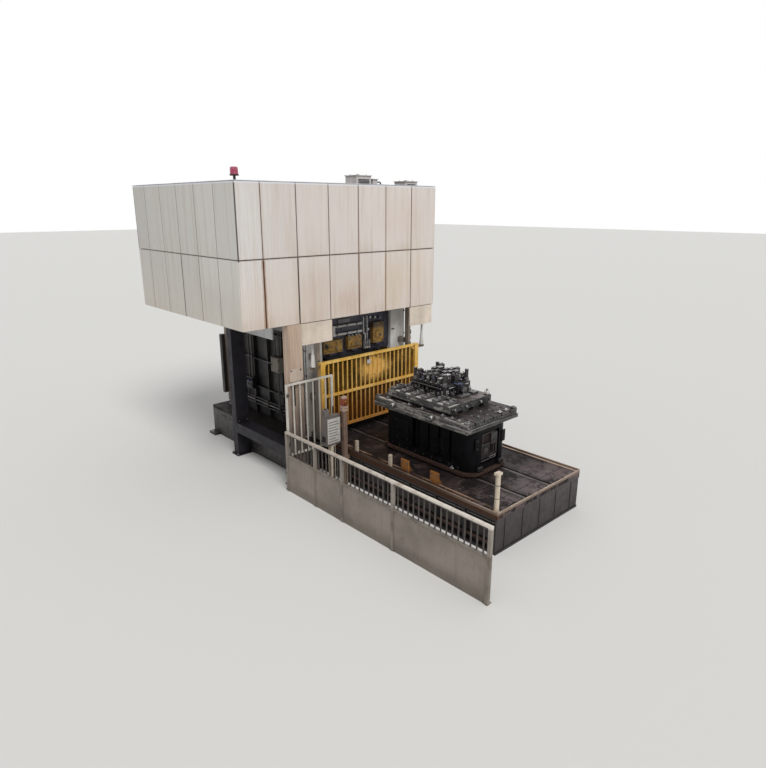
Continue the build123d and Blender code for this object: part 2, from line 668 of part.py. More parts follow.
def track():
    """Raised track that leads into the press: frame, deck plates and rails."""
    y0 = -TRACK_END
    y1 = -BED_HALF
    h = TRACK_HALF
    web = h - TRACK_WEB_SET
    pieces = [
        block(-web, web, y0 + TRACK_WEB_SET, y1, 0, BED_HEIGHT),
        block(-h, h, y0, y1, BED_HEIGHT - TRACK_FLANGE, BED_HEIGHT),
        block(-h, h, y0, y1, 0, TRACK_FLANGE),
    ]
    for y in spread(y0 + RIB_THICK, y1 - RIB_THICK, TRACK_RIB_COUNT - 1):
        pieces.append(block(-h, h, y - RIB_THICK / 2, y + RIB_THICK / 2, 0, BED_HEIGHT))
    save("track_frame", [join(pieces)])
    save("track_deck", deck_strips(y0, y1, h))
    rails = []
    for x in (-RAIL_X, RAIL_X):
        rails.append(block(x - RAIL_WIDTH / 2, x + RAIL_WIDTH / 2, y0, BED_HALF, BED_HEIGHT, RAIL_TOP))
    save("track_rails", rails)
    flat_top = BED_TOP + EDGE_ANGLE_THICK
    angles = [block(-h, h, y0, y0 + EDGE_ANGLE, BED_TOP, flat_top),
              block(-h, h, y0, y0 + EDGE_ANGLE_THICK, BED_TOP, BED_TOP + EDGE_ANGLE)]
    for s in (-1, 1):
        x0, x1 = sorted((s * h, s * (h - EDGE_ANGLE)))
        w0, w1 = sorted((s * h, s * (h - EDGE_ANGLE_THICK)))
        angles.append(block(x0, x1, y0, GUARD_FACE, BED_TOP, flat_top))
        angles.append(block(w0, w1, y0, GUARD_FACE, BED_TOP, BED_TOP + EDGE_ANGLE))
    save("track_edge_angles", [join(angles)])
    x = -h + EDGE_ANGLE + BUFFER_POST_R
    y = y0 + EDGE_ANGLE + BUFFER_POST_R
    top = BED_TOP + BUFFER_POST_HEIGHT
    post = upright(x, y, BED_TOP, top, BUFFER_POST_R)
    post = post + block(x - BUFFER_CAP / 2, x + BUFFER_CAP / 2, y - BUFFER_POST_R, y + BUFFER_POST_R,
                        top, top + BUFFER_POST_R)
    m = MARKER_SIZE
    x = -h + EDGE_ANGLE
    markers = [block(x, x + m, y - m / 2, y + m / 2, BED_TOP, BED_TOP + MARKER_HEIGHT)
               for y in MARKER_PLACES]
    save("track_posts", [post] + markers)
    stops = []
    for y in STOP_PLACES:
        stop = block(x, x + STOP_THICK, y - STOP_LENGTH / 2, y + STOP_LENGTH / 2,
                     BED_TOP, BED_TOP + STOP_HEIGHT)
        gusset = Plane.XZ.offset(-y - STOP_THICK / 2) * Polyline(
            (x, BED_TOP), (x + STOP_LENGTH, BED_TOP), (x, BED_TOP + STOP_HEIGHT), close=True)
        stops.append(stop + extrude(make_face(gusset), amount=STOP_THICK))
    save("carriage_stops", stops)


def rounded(half_x, y0, y1, z0, z1, r):
    """An upright block with a rounded plan."""
    with BuildPart() as part:
        with BuildSketch(Plane.XY.offset(z0)):
            with Locations((0, (y0 + y1) / 2)):
                RectangleRounded(2 * half_x, y1 - y0, r)
        extrude(amount=z1 - z0)
    return part.part


def carriage():
    """Bolster carriage: round-cornered body with a rim, wheels in pockets, and the slotted table."""
    y0 = TABLE_FRONT + BODY_END_INSET
    y1 = TABLE_BACK - BODY_END_INSET
    half = TABLE_HALF - BODY_SIDE_INSET
    body = rounded(half, y0, y1, BODY_BOTTOM, TABLE_BOTTOM, BODY_RADIUS)
    axle_z = RAIL_TOP + WHEEL_R
    pocket = WHEEL_R + WHEEL_POCKET
    wheels = []
    for x in (-RAIL_X, RAIL_X):
        for y in (TABLE_Y - WHEEL_BASE / 2, TABLE_Y + WHEEL_BASE / 2):
            x0 = x - WHEEL_WIDTH / 2
            x1 = x + WHEEL_WIDTH / 2
            body = body - block(x0 - WHEEL_POCKET, x1 + WHEEL_POCKET, y - pocket, y + pocket,
                                BODY_BOTTOM, axle_z + pocket)
            wheel = along_x(x0, x1, y, axle_z, WHEEL_R)
            wheels.append(wheel + along_x(x0 - WHEEL_POCKET, x1 + WHEEL_POCKET, y, axle_z, WHEEL_R / 3))
    z0 = BODY_BOTTOM + RIM_HEIGHT + PANEL_MARGIN
    z1 = TABLE_BOTTOM - PANEL_MARGIN
    for side in (-1, 1):
        x0, x1 = sorted((side * (half - PANEL_RECESS), side * (half + 1)))
        body = body - block(x0, x1, y0 + FRONT_PILLAR, y1 - BACK_PILLAR, z0, z1)
    for e0, e1 in ((y0 - 1, y0 + PANEL_RECESS), (y1 - PANEL_RECESS, y1 + 1)):
        body = body - block(-half + END_PILLAR, half - END_PILLAR, e0, e1, z0, z1)
    save("carriage_body", [body])
    save("carriage_wheels", wheels)
    rim = rounded(half + RIM_REACH, y0 - RIM_REACH, y1 + RIM_REACH, BODY_BOTTOM, BODY_BOTTOM + RIM_HEIGHT,
                  BODY_RADIUS + RIM_REACH)
    rim = rim - rounded(half, y0, y1, BODY_BOTTOM - 1, BODY_BOTTOM + RIM_HEIGHT + 1, BODY_RADIUS)
    save("carriage_rim", [rim])
    upper = TABLE_HALF - TABLE_STEP
    table = block(-TABLE_HALF, TABLE_HALF, TABLE_FRONT, TABLE_BACK, TABLE_BOTTOM, TABLE_BOTTOM + TABLE_LEDGE)
    table = table + block(-upper, upper, TABLE_FRONT + TABLE_STEP, TABLE_BACK - TABLE_STEP,
                          TABLE_BOTTOM, TABLE_TOP)
    span = T_SLOT_PITCH * (T_SLOT_COUNT - 1) / 2
    for x in spread(-span, span, T_SLOT_COUNT - 1):
        for width, z0, z1 in ((T_SLOT_WIDTH, TABLE_TOP - T_SLOT_DEPTH, TABLE_TOP),
                              (T_SLOT_FOOT, TABLE_TOP - 2 * T_SLOT_DEPTH, TABLE_TOP - T_SLOT_DEPTH)):
            table = table - block(x - width / 2, x + width / 2, TABLE_FRONT - 1, TABLE_BACK + 1, z0, z1)
    z = TABLE_TOP - PIN_R - TABLE_STEP
    for side in (-1, 1):
        x0, x1 = sorted((side * upper, side * (upper + PIN_REACH)))
        for y in PIN_PLACES:
            table = table + along_x(x0, x1, y, z, PIN_R)
    save("bolster_table", [table])


def die():
    """Die on the table: risers, shoe, cavity block, feed cylinders and guide pillars."""
    y0 = SHOE_Y - SHOE_LENGTH / 2
    y1 = SHOE_Y + SHOE_LENGTH / 2
    shoe = block(-SHOE_WIDTH / 2, SHOE_WIDTH / 2, y0, y1, SHOE_BOTTOM, SHOE_TOP)
    for x in spread(-SHOE_WIDTH / 2 + RISER_WIDTH, SHOE_WIDTH / 2 - RISER_WIDTH, 3):
        shoe = shoe + block(x - RISER_WIDTH / 2, x + RISER_WIDTH / 2, y0, y1, TABLE_TOP, SHOE_BOTTOM)
    save("die_shoe", [shoe])
    dx0 = DIE_X - DIE_WIDTH / 2
    dx1 = DIE_X + DIE_WIDTH / 2
    dy0 = DIE_Y - DIE_LENGTH / 2
    dy1 = DIE_Y + DIE_LENGTH / 2
    lower = block(dx0, dx1, dy0, dy1, SHOE_TOP, DIE_TOP)
    lower = lower - along_y(DIE_X, dy0 - 1, dy1 + 1, DIE_TOP, CAVITY_R)
    save("lower_die", [lower])
    fittings = []
    for x in (dx0 + 1.5 * PILLAR_R, dx1 - 1.5 * PILLAR_R):
        for y in (dy0 + 1.5 * PILLAR_R, dy1 - 1.5 * PILLAR_R):
            fittings.append(upright(x, y, DIE_TOP, DIE_TOP + PILLAR_HEIGHT, PILLAR_R))
    inner = CAVITY_R + BLOCK_WIDTH / 2 + RUNNING_GAP
    outer = DIE_WIDTH / 2 - BLOCK_WIDTH / 2 - RUNNING_GAP
    for column, x in enumerate((-outer, -inner, inner, outer)):
        for row, y in enumerate(spread(dy0 + BLOCK_END, dy1 - BLOCK_END, BLOCK_COUNT - 1)):
            tall = BLOCK_HEIGHT + BLOCK_STEP * ((2 * row + column) % 3)
            fittings.append(Pos(DIE_X + x, y, DIE_TOP + tall / 2) * Box(BLOCK_WIDTH, BLOCK_DEPTH, tall))
    save("die_fittings", fittings)
    feeds = []
    z = SHOE_TOP + FEED_BLOCK / 2
    for face, way in ((dy0, -1), (dy1, 1)):
        b0, b1 = sorted((face, face + way * FEED_BLOCK / 2))
        c0, c1 = sorted((face, face + way * FEED_LENGTH))
        mount = block(DIE_X - FEED_BLOCK / 2, DIE_X + FEED_BLOCK / 2, b0, b1, SHOE_TOP, SHOE_TOP + FEED_BLOCK)
        feeds.append(mount + along_y(DIE_X, c0, c1, z, FEED_R))
    save("feed_cylinders", feeds)
    clamps = []
    x = -SHOE_WIDTH / 2
    for y in spread(y0 + SHOE_CLAMP_WIDTH, y1 - SHOE_CLAMP_WIDTH, SHOE_CLAMP_COUNT - 1):
        clamps.append(block(x, x + SHOE_CLAMP_REACH, y - SHOE_CLAMP_WIDTH / 2, y + SHOE_CLAMP_WIDTH / 2,
                            SHOE_TOP, SHOE_TOP + SHOE_CLAMP_HEIGHT))
    save("shoe_clamps", clamps)


def roof():
    """Roof deck inside the cladding, its edge trim, the roof unit and the beacon at the near corner."""
    x0 = -HEAD_LEFT + FRAME_IN
    x1 = HEAD_RIGHT - FRAME_IN
    y0 = FRONT + FRAME_IN
    y1 = REAR - FRAME_IN
    save("roof_deck", [block(x0, x1, y0, y1, ROOF_TOP - ROOF_DECK, ROOF_TOP)])
    outer = block(-HEAD_LEFT, HEAD_RIGHT, FRONT, REAR, HEAD_TOP, HEAD_TOP + TRIM_THICK)
    inner = block(-HEAD_LEFT + FRAME_IN, HEAD_RIGHT - FRAME_IN, FRONT + FRAME_IN, REAR - FRAME_IN,
                  HEAD_TOP - 1, HEAD_TOP + TRIM_THICK + 1)
    save("roof_edge_trim", [outer - inner])
    unit_y = FRONT + UNIT_FRONT
    save("roof_units", [block(x, x + width, unit_y, unit_y + UNIT_DEPTH, ROOF_TOP, ROOF_TOP + height)
                        for x, width, height in UNITS])
    x = -HEAD_LEFT + STEM_INSET
    y = FRONT + STEM_INSET
    z = HEAD_TOP + TRIM_THICK
    save("beacon_stem", [upright(x, y, z, z + STEM_HEIGHT, STEM_R)])
    save("beacon_lamp", [upright(x, y, z + STEM_HEIGHT, z + STEM_HEIGHT + BEACON_HEIGHT, BEACON_R)])


os.makedirs("parts", exist_ok=True)
cladding()
cladding_frame()
skirts()
bed()
columns()
crown()
overhang()
slide()
gate()
guarding()
stations()
track()
carriage()
die()
roof()
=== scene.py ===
import bpy
import math
import random
from functools import partialmethod
from itertools import product
from mathutils import Matrix, Vector


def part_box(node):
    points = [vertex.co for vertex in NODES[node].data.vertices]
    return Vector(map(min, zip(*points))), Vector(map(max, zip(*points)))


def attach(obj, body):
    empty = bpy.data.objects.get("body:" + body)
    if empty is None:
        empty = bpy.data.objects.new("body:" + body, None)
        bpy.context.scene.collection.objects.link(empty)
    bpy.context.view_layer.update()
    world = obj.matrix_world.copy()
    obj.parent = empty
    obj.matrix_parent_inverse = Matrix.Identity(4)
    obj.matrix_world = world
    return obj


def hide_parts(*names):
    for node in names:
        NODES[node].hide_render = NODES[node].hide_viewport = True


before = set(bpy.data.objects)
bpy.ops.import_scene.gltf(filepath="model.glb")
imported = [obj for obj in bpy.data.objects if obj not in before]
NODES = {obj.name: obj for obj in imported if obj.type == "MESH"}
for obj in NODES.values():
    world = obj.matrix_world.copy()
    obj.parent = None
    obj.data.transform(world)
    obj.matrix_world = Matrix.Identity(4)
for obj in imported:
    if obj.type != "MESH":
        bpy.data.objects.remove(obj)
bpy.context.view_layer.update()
DICE = random.Random(7)

SIDES = (-1, 1)
UP, DOWN, FRONT, REAR = (0, 0, 1), (0, 0, -1), (0, -1, 0), (0, 1, 0)
ROW_JOINT = 4.98                    # height of the seam between the two rows of cladding
PIPE_TOP = 3.68                     # where pipes and conduits go up into the head
BED_PLATE = 0.815                   # top of the plates that the columns stand on
FENCE_X = -2.580
FENCE_POSTS = (-2.435, -3.425, -4.285, -5.710, -7.841)
GATE_MIDDLE = 0.080
TABLE_TOP = 1.985


def between(first, last, count):
    """count places from first to last, both included."""
    return [first + (last - first) * i / (count - 1) for i in range(count)]


def around(x, y, r, share):
    """The point at a share of a full turn on the circle round x, y."""
    a = 2 * math.pi * share
    return x + r * math.cos(a), y + r * math.sin(a)


def spread(place):
    """Every point of a place in which some coordinates may be lists."""
    return product(*(c if isinstance(c, (tuple, list)) else (c,) for c in place))


def shade(colour, scale=1.0):
    """A screen colour, 0 to 255, scaled and kept from clipping, as the linear values that the nodes take."""
    scales = scale if isinstance(scale, tuple) else (scale,) * 3
    seen = (min(c * k, 250) for c, k in zip(colour, scales))
    return tuple((c / 255 / 12.92 if c < 11 else ((c / 255 + 0.055) / 1.055) ** 2.4) for c in seen) + (1,)


# Materials

M = {}


class Shade:
    """A node material, built up in layers, with a short call for each kind of node that it uses."""

    def __init__(self, name):
        self.mat = M[name] = bpy.data.materials.new(name)
        self.mat.use_nodes = True
        self.tree = self.mat.node_tree
        self.bsdf = self.tree.nodes["Principled BSDF"]
        self.here = self.new("TexCoord").outputs["Object"]
        self.x, self.y, self.z = self.parts(self.here)
        self.colour = None

    def new(self, kind):
        return self.tree.nodes.new("ShaderNode" + kind)

    def put(self, socket, value):
        if isinstance(value, bpy.types.NodeSocket):
            self.tree.links.new(value, socket)
        else:
            socket.default_value = value

    def parts(self, vector):
        split = self.new("SeparateXYZ")
        self.put(split.inputs[0], vector)
        return split.outputs

    def calc(self, kind, *values):
        node = self.new("Math")
        node.operation = kind
        for socket, value in zip(node.inputs, values):
            self.put(socket, value)
        return node.outputs[0]

    plus = partialmethod(calc, "ADD")
    minus = partialmethod(calc, "SUBTRACT")
    times = partialmethod(calc, "MULTIPLY")
    per = partialmethod(calc, "DIVIDE")
    size = partialmethod(calc, "ABSOLUTE")
    least = partialmethod(calc, "MINIMUM")
    above = partialmethod(calc, "GREATER_THAN")

    def off(self, value, place):
        """The distance of a value from a place."""
        return self.size(self.minus(value, place))

    def ellipse(self, along, a, ra, z, rz):
        """The distance from a point along and up, where 1 is the ellipse of those radii."""
        u = self.per(self.minus(along, a), ra)
        v = self.per(self.minus(self.z, z), rz)
        return self.calc("SQRT", self.calc("MULTIPLY_ADD", u, u, self.times(v, v)))

    def noise(self, scale, detail=3.0, rough=0.55, stretch=(1, 1, 1)):
        place = self.new("Mapping")
        place.inputs["Scale"].default_value = stretch
        self.put(place.inputs["Vector"], self.here)
        node = self.new("TexNoise")
        for name, value in (("Vector", place.outputs[0]), ("Scale", scale), ("Detail", detail),
                            ("Roughness", rough)):
            self.put(node.inputs[name], value)
        return node.outputs["Fac"]

    def rag(self, value, amount, *noise):
        """A value made ragged by noise."""
        return self.calc("MULTIPLY_ADD", self.noise(*noise), amount, value)

    def ease(self, value, low, high, to_low=0.0, to_high=1.0):
        """to_low below low, to_high above high, and a smooth step between."""
        node = self.new("MapRange")
        node.interpolation_type = "SMOOTHSTEP"
        for socket, number in zip(node.inputs, (value, low, high, to_low, to_high)):
            self.put(socket, number)
        return node.outputs[0]

    def spots(self, scale, detail, rough, low, high, to_low=0.0, to_high=1.0, stretch=(1, 1, 1)):
        """Noise cut to spots or streaks."""
        return self.ease(self.noise(scale, detail, rough, stretch), low, high, to_low, to_high)

    def mix(self, share, a, b):
        node = self.new("Mix")
        node.data_type = "RGBA"
        for place, value in ((0, share), (6, a), (7, b)):
            self.put(node.inputs[place], value)
        return node.outputs[2]

    def start(self, share, a, b, scale_a=1.0, scale_b=1.0):
        """The first layer: from colour a to colour b."""
        self.colour = self.mix(share, shade(a, scale_a), shade(b, scale_b))

    def lay(self, share, colour, scale=1.0):
        """One more layer over what is there."""
        self.colour = self.mix(share, self.colour, shade(colour, scale))

    def facing_up(self):
        return self.parts(self.new("NewGeometry").outputs["Normal"])[2]

    def hollow(self, reach):
        """1 in corners and crevices, 0 in the open: the mask for painted shade."""
        node = self.new("AmbientOcclusion")
        node.samples = 4
        node.inputs["Distance"].default_value = reach
        return self.ease(node.outputs["AO"], 0.35, 0.95, 1.0, 0.0)

    def rims(self, width):
        """1 on outer edges, 0 on flats."""
        bevel = self.new("Bevel")
        bevel.samples = 4
        bevel.inputs["Radius"].default_value = width
        dot = self.new("VectorMath")
        dot.operation = "DOT_PRODUCT"
        self.put(dot.inputs[0], bevel.outputs[0])
        self.put(dot.inputs[1], self.new("NewGeometry").outputs["True Normal"])
        return self.ease(dot.outputs["Value"], 0.80, 0.985, 1.0, 0.0)

    def done(self, rough, height, strength, depth, source=None, metal=0.0, shine=0.5):
        """The layers, a range of roughness, a bump of height, and what share is metal."""
        bump = self.new("Bump")
        gloss = self.ease(source or self.noise(6, 4), 0.3, 0.7, *rough)
        for socket, value in ((bump.inputs["Strength"], strength), (bump.inputs["Distance"], depth),
                              (bump.inputs["Height"], height), (self.bsdf.inputs["Base Color"], self.colour),
                              (self.bsdf.inputs["Metallic"], metal), (self.bsdf.inputs["Roughness"], gloss),
                              (self.bsdf.inputs["Specular IOR Level"], shine),
                              (self.bsdf.inputs["Normal"], bump.outputs[0])):
            self.put(socket, value)


def coat(name, base, grime, grime_share, streak, streak_share, worn=None, worn_share=0.5, rough=(0.4, 0.62),
         metal=0.0, darker_below=None, depth=0.0015, reach=0.18, edge=0.006, top_line=None, shine=0.5):
    """Painted or bare metal with broad variation, runs and grime, optionally darker towards the bottom,
    painted shade in corners and crevices, and worn edges.
    """
    s = Shade(name)
    s.start(s.spots(1.1, 4, 0.6, 0.32, 0.68), base, base, 0.90, 1.07)
    s.lay(s.spots(1.0, 5, 0.65, 0.52, 0.72, 0.0, streak_share, (13, 13, 0.7)), streak)
    s.lay(s.spots(5.5, 8, 0.72, 0.54, 0.70, 0.0, grime_share), grime)
    # darker towards the bottom, in the grime colour
    if darker_below:
        z0, z1, share = darker_below
        s.lay(s.ease(s.rag(s.z, -(z1 - z0) * 0.8, 2.5, 5, 0.7), z0, z1, share, 0.0), grime)
    # painted shade: corners and crevices darkened with a lighter grime colour
    if reach:
        s.lay(s.times(s.hollow(reach), 0.8), grime, 0.55)
    if worn:
        s.lay(s.times(s.times(s.rims(edge), s.spots(24, 6, 0.75, 0.42, 0.60)), worn_share), worn)
    if top_line:
        s.lay(s.ease(s.z, top_line - 0.012, top_line, 0.0, 0.9), (70, 54, 44))
    s.done(rough, s.noise(60, 5, 0.6), 0.25, depth, metal=metal, shine=shine)


def cladding_paint(name, across, seam_start, pitch, tint, seam, hem_share, contrast, slope, stains, patches):
    """Sheet panels: a tone each, soft runs, thin seams, rust at a few seams, painted shade in an open gap at
    one seam, and broad stained patches.
    """
    s = Shade(name)
    along = (s.x, s.y)[across]
    upper = s.above(s.z, ROW_JOINT)
    panel = s.per(s.minus(along, seam_start), pitch)
    chance = s.new("TexWhiteNoise")
    chance.noise_dimensions = "2D"
    pair = s.new("CombineXYZ")
    s.put(pair.inputs[0], s.calc("FLOOR", panel))
    s.put(pair.inputs[1], upper)
    s.put(chance.inputs["Vector"], pair.outputs[0])
    tone = s.calc("MULTIPLY_ADD", chance.outputs["Value"], 0.45, s.ease(along, -3.4, 2.4, *slope))
    s.start(tone, tint, tint, 1 - contrast, 1 + contrast)
    s.lay(s.ease(s.z, 3.8, 5.0, 0.75, 0.0), tint, (1.01, 0.985, 0.955))
    runs = s.noise(1.0, 6, 0.7, (9, 9, 0.35))
    s.lay(s.ease(runs, 0.46, 0.70, 0.0, 0.62), tint, (0.92, 0.88, 0.83))
    fine = s.noise(1.0, 5, 0.7, (40, 40, 0.9))
    s.lay(s.ease(fine, 0.50, 0.70, 0.0, 0.55), tint, 1.07)
    foot = s.minus(s.z, s.calc("MULTIPLY_ADD", upper, 1.37, 3.61))
    hem = s.times(s.ease(foot, 0.0, 0.40, 1.0, 0.0), s.spots(0.9, 3, 0.55, 0.44, 0.62, 0.05, hem_share))
    s.lay(s.times(hem, s.ease(runs, 0.36, 0.60, 0.3, 1.0)), (186, 164, 142))
    for a, z, ra, rz, share, stain in patches:
        loose = s.rag(s.ellipse(along, a, ra, z, rz), -2.2, 2.0, 7, 0.75, (5, 5, 0.7))
        s.lay(s.times(s.ease(loose, -0.95, 0.15, share, 0.0), s.ease(fine, 0.38, 0.62, 0.35, 1.0)), stain)
    gap = s.times(s.off(s.calc("FRACT", s.plus(panel, 0.5)), 0.5), pitch)
    nearest = s.least(s.times(gap, 1.35), s.off(s.z, ROW_JOINT))
    s.lay(s.ease(s.rag(nearest, -0.030, 7, 5, 0.7, (3, 3, 1)), -0.014, 0.020, 0.60, 0.0), seam, 1.22)
    s.lay(s.ease(nearest, 0.007, 0.015, 0.85, 0.0), seam)
    for place, width, share, in_lower, in_upper, stain in stains:
        off = s.off(along, place)
        loose = s.rag(off, -width, 2.2, 6, 0.75, (4, 4, 1))
        row = s.ease(s.z, ROW_JOINT - 0.05, ROW_JOINT, in_lower, in_upper)
        s.lay(s.times(s.ease(loose, -width * 0.45, width * 0.35, share, 0.0), row), stain)
        s.lay(s.times(s.ease(off, 0.008, 0.024, share, 0.0), row), stain, 0.66)
    s.lay(s.spots(38, 3, 0.6, 0.70, 0.76, 0.0, 0.4), (156, 130, 108))
    s.lay(s.ease(s.z, 6.375, 6.390, 0.0, 0.7), (228, 231, 240))
    s.done((0.42, 0.58), s.plus(s.noise(1.6, 2, 0.5), s.times(s.noise(55, 3), 0.02)), 0.35, 0.012)


def machined(name, top, streaks, edge_tone, sides, rough=(0.3, 0.6), lane=None):
    """A worn steel block: its own tone on top, another on the sides, scratches along the travel,
    and a lane left of x = lane where the scratches are pale and bare."""
    s = Shade(name)
    scratch = s.noise(1.0, 7, 0.72, (14, 0.9, 3))
    stain = s.noise(1.7, 7, 0.7)
    s.start(s.ease(scratch, 0.45, 0.72), top, streaks)
    s.lay(s.ease(stain, 0.52, 0.66, 0.0, 0.85), top, 0.42)
    if lane:
        inside = s.ease(s.x, lane - 0.05, lane + 0.05, 1.0, 0.0)
        bare = s.times(inside, s.spots(1.0, 7, 0.75, 0.47, 0.53, stretch=(6, 1.3, 3)))
        s.lay(s.times(bare, 0.95), (228, 224, 218))
    surface = s.colour
    s.start(s.spots(3.2, 7, 0.7, 0.42, 0.64), sides, sides, 1.0, 0.45)
    if lane:
        torn = s.times(inside, s.spots(1.0, 7, 0.75, 0.50, 0.57, stretch=(3, 1.6, 9)))
        s.lay(s.times(torn, 0.68), (176, 172, 166))
    s.colour = s.mix(s.ease(s.facing_up(), 0.6, 0.9), s.colour, surface)
    s.lay(s.times(s.rims(0.009), s.spots(19, 6, 0.75, 0.38, 0.58)), edge_tone)
    # painted shade: near black in corners and crevices
    s.lay(s.times(s.hollow(0.10), 0.75), (16, 13, 13))
    s.done(rough, s.plus(scratch, s.noise(70, 4)), 0.35, 0.002, stain, metal=0.35)


def deck_paint():
    """Track plates: purple-grey steel in front, black oil round the rails, and darker towards and under the
    press.
    """
    s = Shade("deck")
    s.start(s.spots(1.3, 6, 0.65, 0.38, 0.62), (26, 20, 20), (70, 60, 59))
    s.lay(s.times(s.ease(s.rag(s.y, 1.2, 2.4, 6, 0.7), -6.2, -5.5, 1.0, 0.0), 0.70), (110, 99, 99))
    s.lay(s.spots(1.0, 6, 0.7, 0.56, 0.70, 0.0, 0.6, (2.0, 9, 1)), (134, 121, 115))
    s.lay(s.spots(1.9, 8, 0.78, 0.50, 0.56, 0.0, 0.9), (20, 14, 15))
    s.lay(s.spots(15, 6, 0.75, 0.64, 0.70, 0.0, 0.7), (128, 100, 82))
    by_rail = s.rag(s.off(s.size(s.x), 0.40), -0.34, 2.3, 7, 0.75)
    s.lay(s.ease(by_rail, -0.17, 0.07, 0.95, 0.0), (26, 20, 19))
    s.lay(s.times(s.ease(s.rag(s.y, -0.8, 1.5, 5), -6.6, -5.9), 0.50), (24, 18, 18))
    s.lay(s.spots(3.1, 7, 0.75, 0.55, 0.63, 0.0, 0.55), (88, 70, 66))
    joint = s.off(s.calc("FRACT", s.per(s.y, 1.22)), 0.5)
    s.lay(s.ease(joint, 0.004, 0.010, 0.9, 0.0), (18, 14, 13))
    rust = s.ease(s.rag(s.x, 0.30, 1.8, 6, 0.7), -1.20, -1.02, 0.85, 0.0)
    s.lay(s.times(rust, s.ease(s.y, -2.6, -2.3, 1.0, 0.0)), (84, 56, 41))
    lane = s.times(s.ease(s.off(s.x, -1.175), 0.012, 0.030, 1.0, 0.0),
                   s.spots(1.0, 6, 0.7, 0.40, 0.56, stretch=(6, 1.4, 1)))
    s.lay(s.times(lane, s.ease(s.y, -2.6, -2.3, 0.8, 0.0)), (168, 138, 116))
    # darker towards and under the press
    s.lay(s.ease(s.y, -2.6, -1.9, 0.0, 0.75), (24, 19, 19))
    s.done((0.42, 0.75), s.noise(48, 6, 0.65), 0.35, 0.003, s.noise(1.9, 6, 0.7), metal=0.2, shine=0.2)


def edge_paint():
    """The track's edge angle: its outer face pale towards the front end, partly wear and partly a painted
    highlight, brown behind.
    """
    s = Shade("edge_angle")
    worn = s.spots(1.0, 7, 0.75, 0.44, 0.60, stretch=(9, 1.2, 9))
    place = s.rag(s.y, -1.2, 1.6, 5, 0.7)
    s.start(worn, (92, 70, 56), (58, 44, 38))
    rear = s.colour
    # the outer face's pale front colour: partly wear, partly a painted highlight
    s.start(worn, (196, 180, 166), (150, 126, 106))
    lip = s.mix(s.ease(place, -6.0, -4.6), s.colour, rear)
    s.start(worn, (74, 56, 46), (48, 36, 31))
    s.lay(s.ease(place, -7.2, -6.0, 0.65, 0.0), (150, 128, 112))
    # the outer face below the top takes the pale-to-brown colour: partly wear, partly a painted highlight
    outer = s.times(s.ease(s.facing_up(), 0.4, 0.6, 1.0, 0.0), s.ease(s.z, 0.822, 0.830, 1.0, 0.0))
    s.colour = s.mix(outer, lip, s.colour)
    s.done((0.35, 0.6), s.noise(50, 5), 0.3, 0.0015)


def fence_paint():
    """The low fence: pale posts and top rail, painted shade on the rail's lower half and on the dull dark
    bars, and the sheets' own tone below them.
    """
    s = Shade("fence")
    # the bars' dark colour: painted shade
    s.start(s.spots(9, 5, 0.55, 0.4, 0.6), (66, 59, 54), (44, 38, 35))
    dull = s.colour
    s.start(s.spots(4, 6, 0.7, 0.4, 0.65), (132, 124, 115), (104, 96, 88))
    lower = s.colour
    s.start(s.ease(s.y, -6.5, -3.0), (226, 218, 208), (184, 174, 164))
    s.lay(s.spots(5, 6, 0.7, 0.44, 0.68, 0.0, 0.7), (160, 144, 130))
    s.lay(s.spots(16, 6, 0.75, 0.56, 0.68, 0.0, 0.7), (114, 88, 68))
    # painted shade: the top rail's lower half darker
    s.lay(s.ease(s.z, 1.30, 1.34, 0.80, 0.0), (118, 111, 103))
    from_post = 10.0
    for y in FENCE_POSTS:
        from_post = s.least(from_post, s.off(s.y, y))
    # painted shade: the bars away from the posts take the dark colour
    bars = s.times(s.above(from_post, 0.034), s.ease(s.z, 1.325, 1.335, 0.92, 0.0))
    s.colour = s.mix(s.ease(s.z, 0.850, 0.866), lower, s.mix(bars, s.colour, dull))
    s.done((0.45, 0.65), s.noise(60, 4), 0.25, 0.001)


def post_paint():
    """The beige left post: vertical rust runs, a paler band half way, dark below as painted shade, and
    painted shade in corners.
    """
    s = Shade("post")
    s.start(s.spots(1.0, 6, 0.7, 0.42, 0.70, stretch=(16, 16, 0.5)), (196, 174, 156), (167, 140, 120))
    s.lay(s.spots(1.0, 7, 0.75, 0.56, 0.70, 0.0, 0.8, (22, 22, 0.8)), (124, 84, 60))
    ragged = s.rag(s.z, 0.8, 2.0, 5)
    # painted shade: darker down the post's lower part
    s.lay(s.ease(ragged, 2.5, 3.0, 0.45, 0.0), (92, 80, 74))
    s.lay(s.ease(ragged, 1.4, 2.5, 0.88, 0.0), (64, 54, 51))
    # painted shade in corners and crevices
    s.lay(s.times(s.hollow(0.12), 0.7), (60, 46, 38))
    s.done((0.45, 0.7), s.noise(40, 5), 0.3, 0.002)


def lens_paint():
    """Red plastic lens with moulded ribs and dust."""
    s = Shade("red_lens")
    s.start(s.spots(30, 5, 0.55, 0.45, 0.7, 0.0, 0.35), (160, 28, 78), (190, 150, 150))
    s.bsdf.inputs["Coat Weight"].default_value = 0.5
    wave = s.new("TexWave")
    wave.bands_direction = "Z"
    wave.inputs["Scale"].default_value = 18
    s.put(wave.inputs["Vector"], s.here)
    s.done((0.12, 0.35), wave.outputs["Fac"], 0.5, 0.002)


def gate_paint():
    """Ochre gate: bright above, orange-brown and dirty below, grey-brown lift arms beyond its posts."""
    s = Shade("gate")
    s.start(s.spots(3.0, 5, 0.65, 0.35, 0.65), (218, 168, 66), (238, 196, 108))
    s.lay(s.ease(s.rag(s.z, -0.5, 1.4, 4), 1.0, 1.8, 0.88, 0.0), (170, 112, 50))
    s.lay(s.spots(9, 8, 0.75, 0.54, 0.70, 0.0, 0.75), (84, 56, 30))
    s.lay(s.times(s.rims(0.004), s.spots(30, 6, 0.75, 0.50, 0.62)), (110, 92, 74))
    s.lay(s.times(s.ease(s.off(s.x, GATE_MIDDLE), 1.545, 1.555), 0.9), (84, 74, 66))
    s.done((0.35, 0.6), s.noise(70, 4), 0.25, 0.0012)


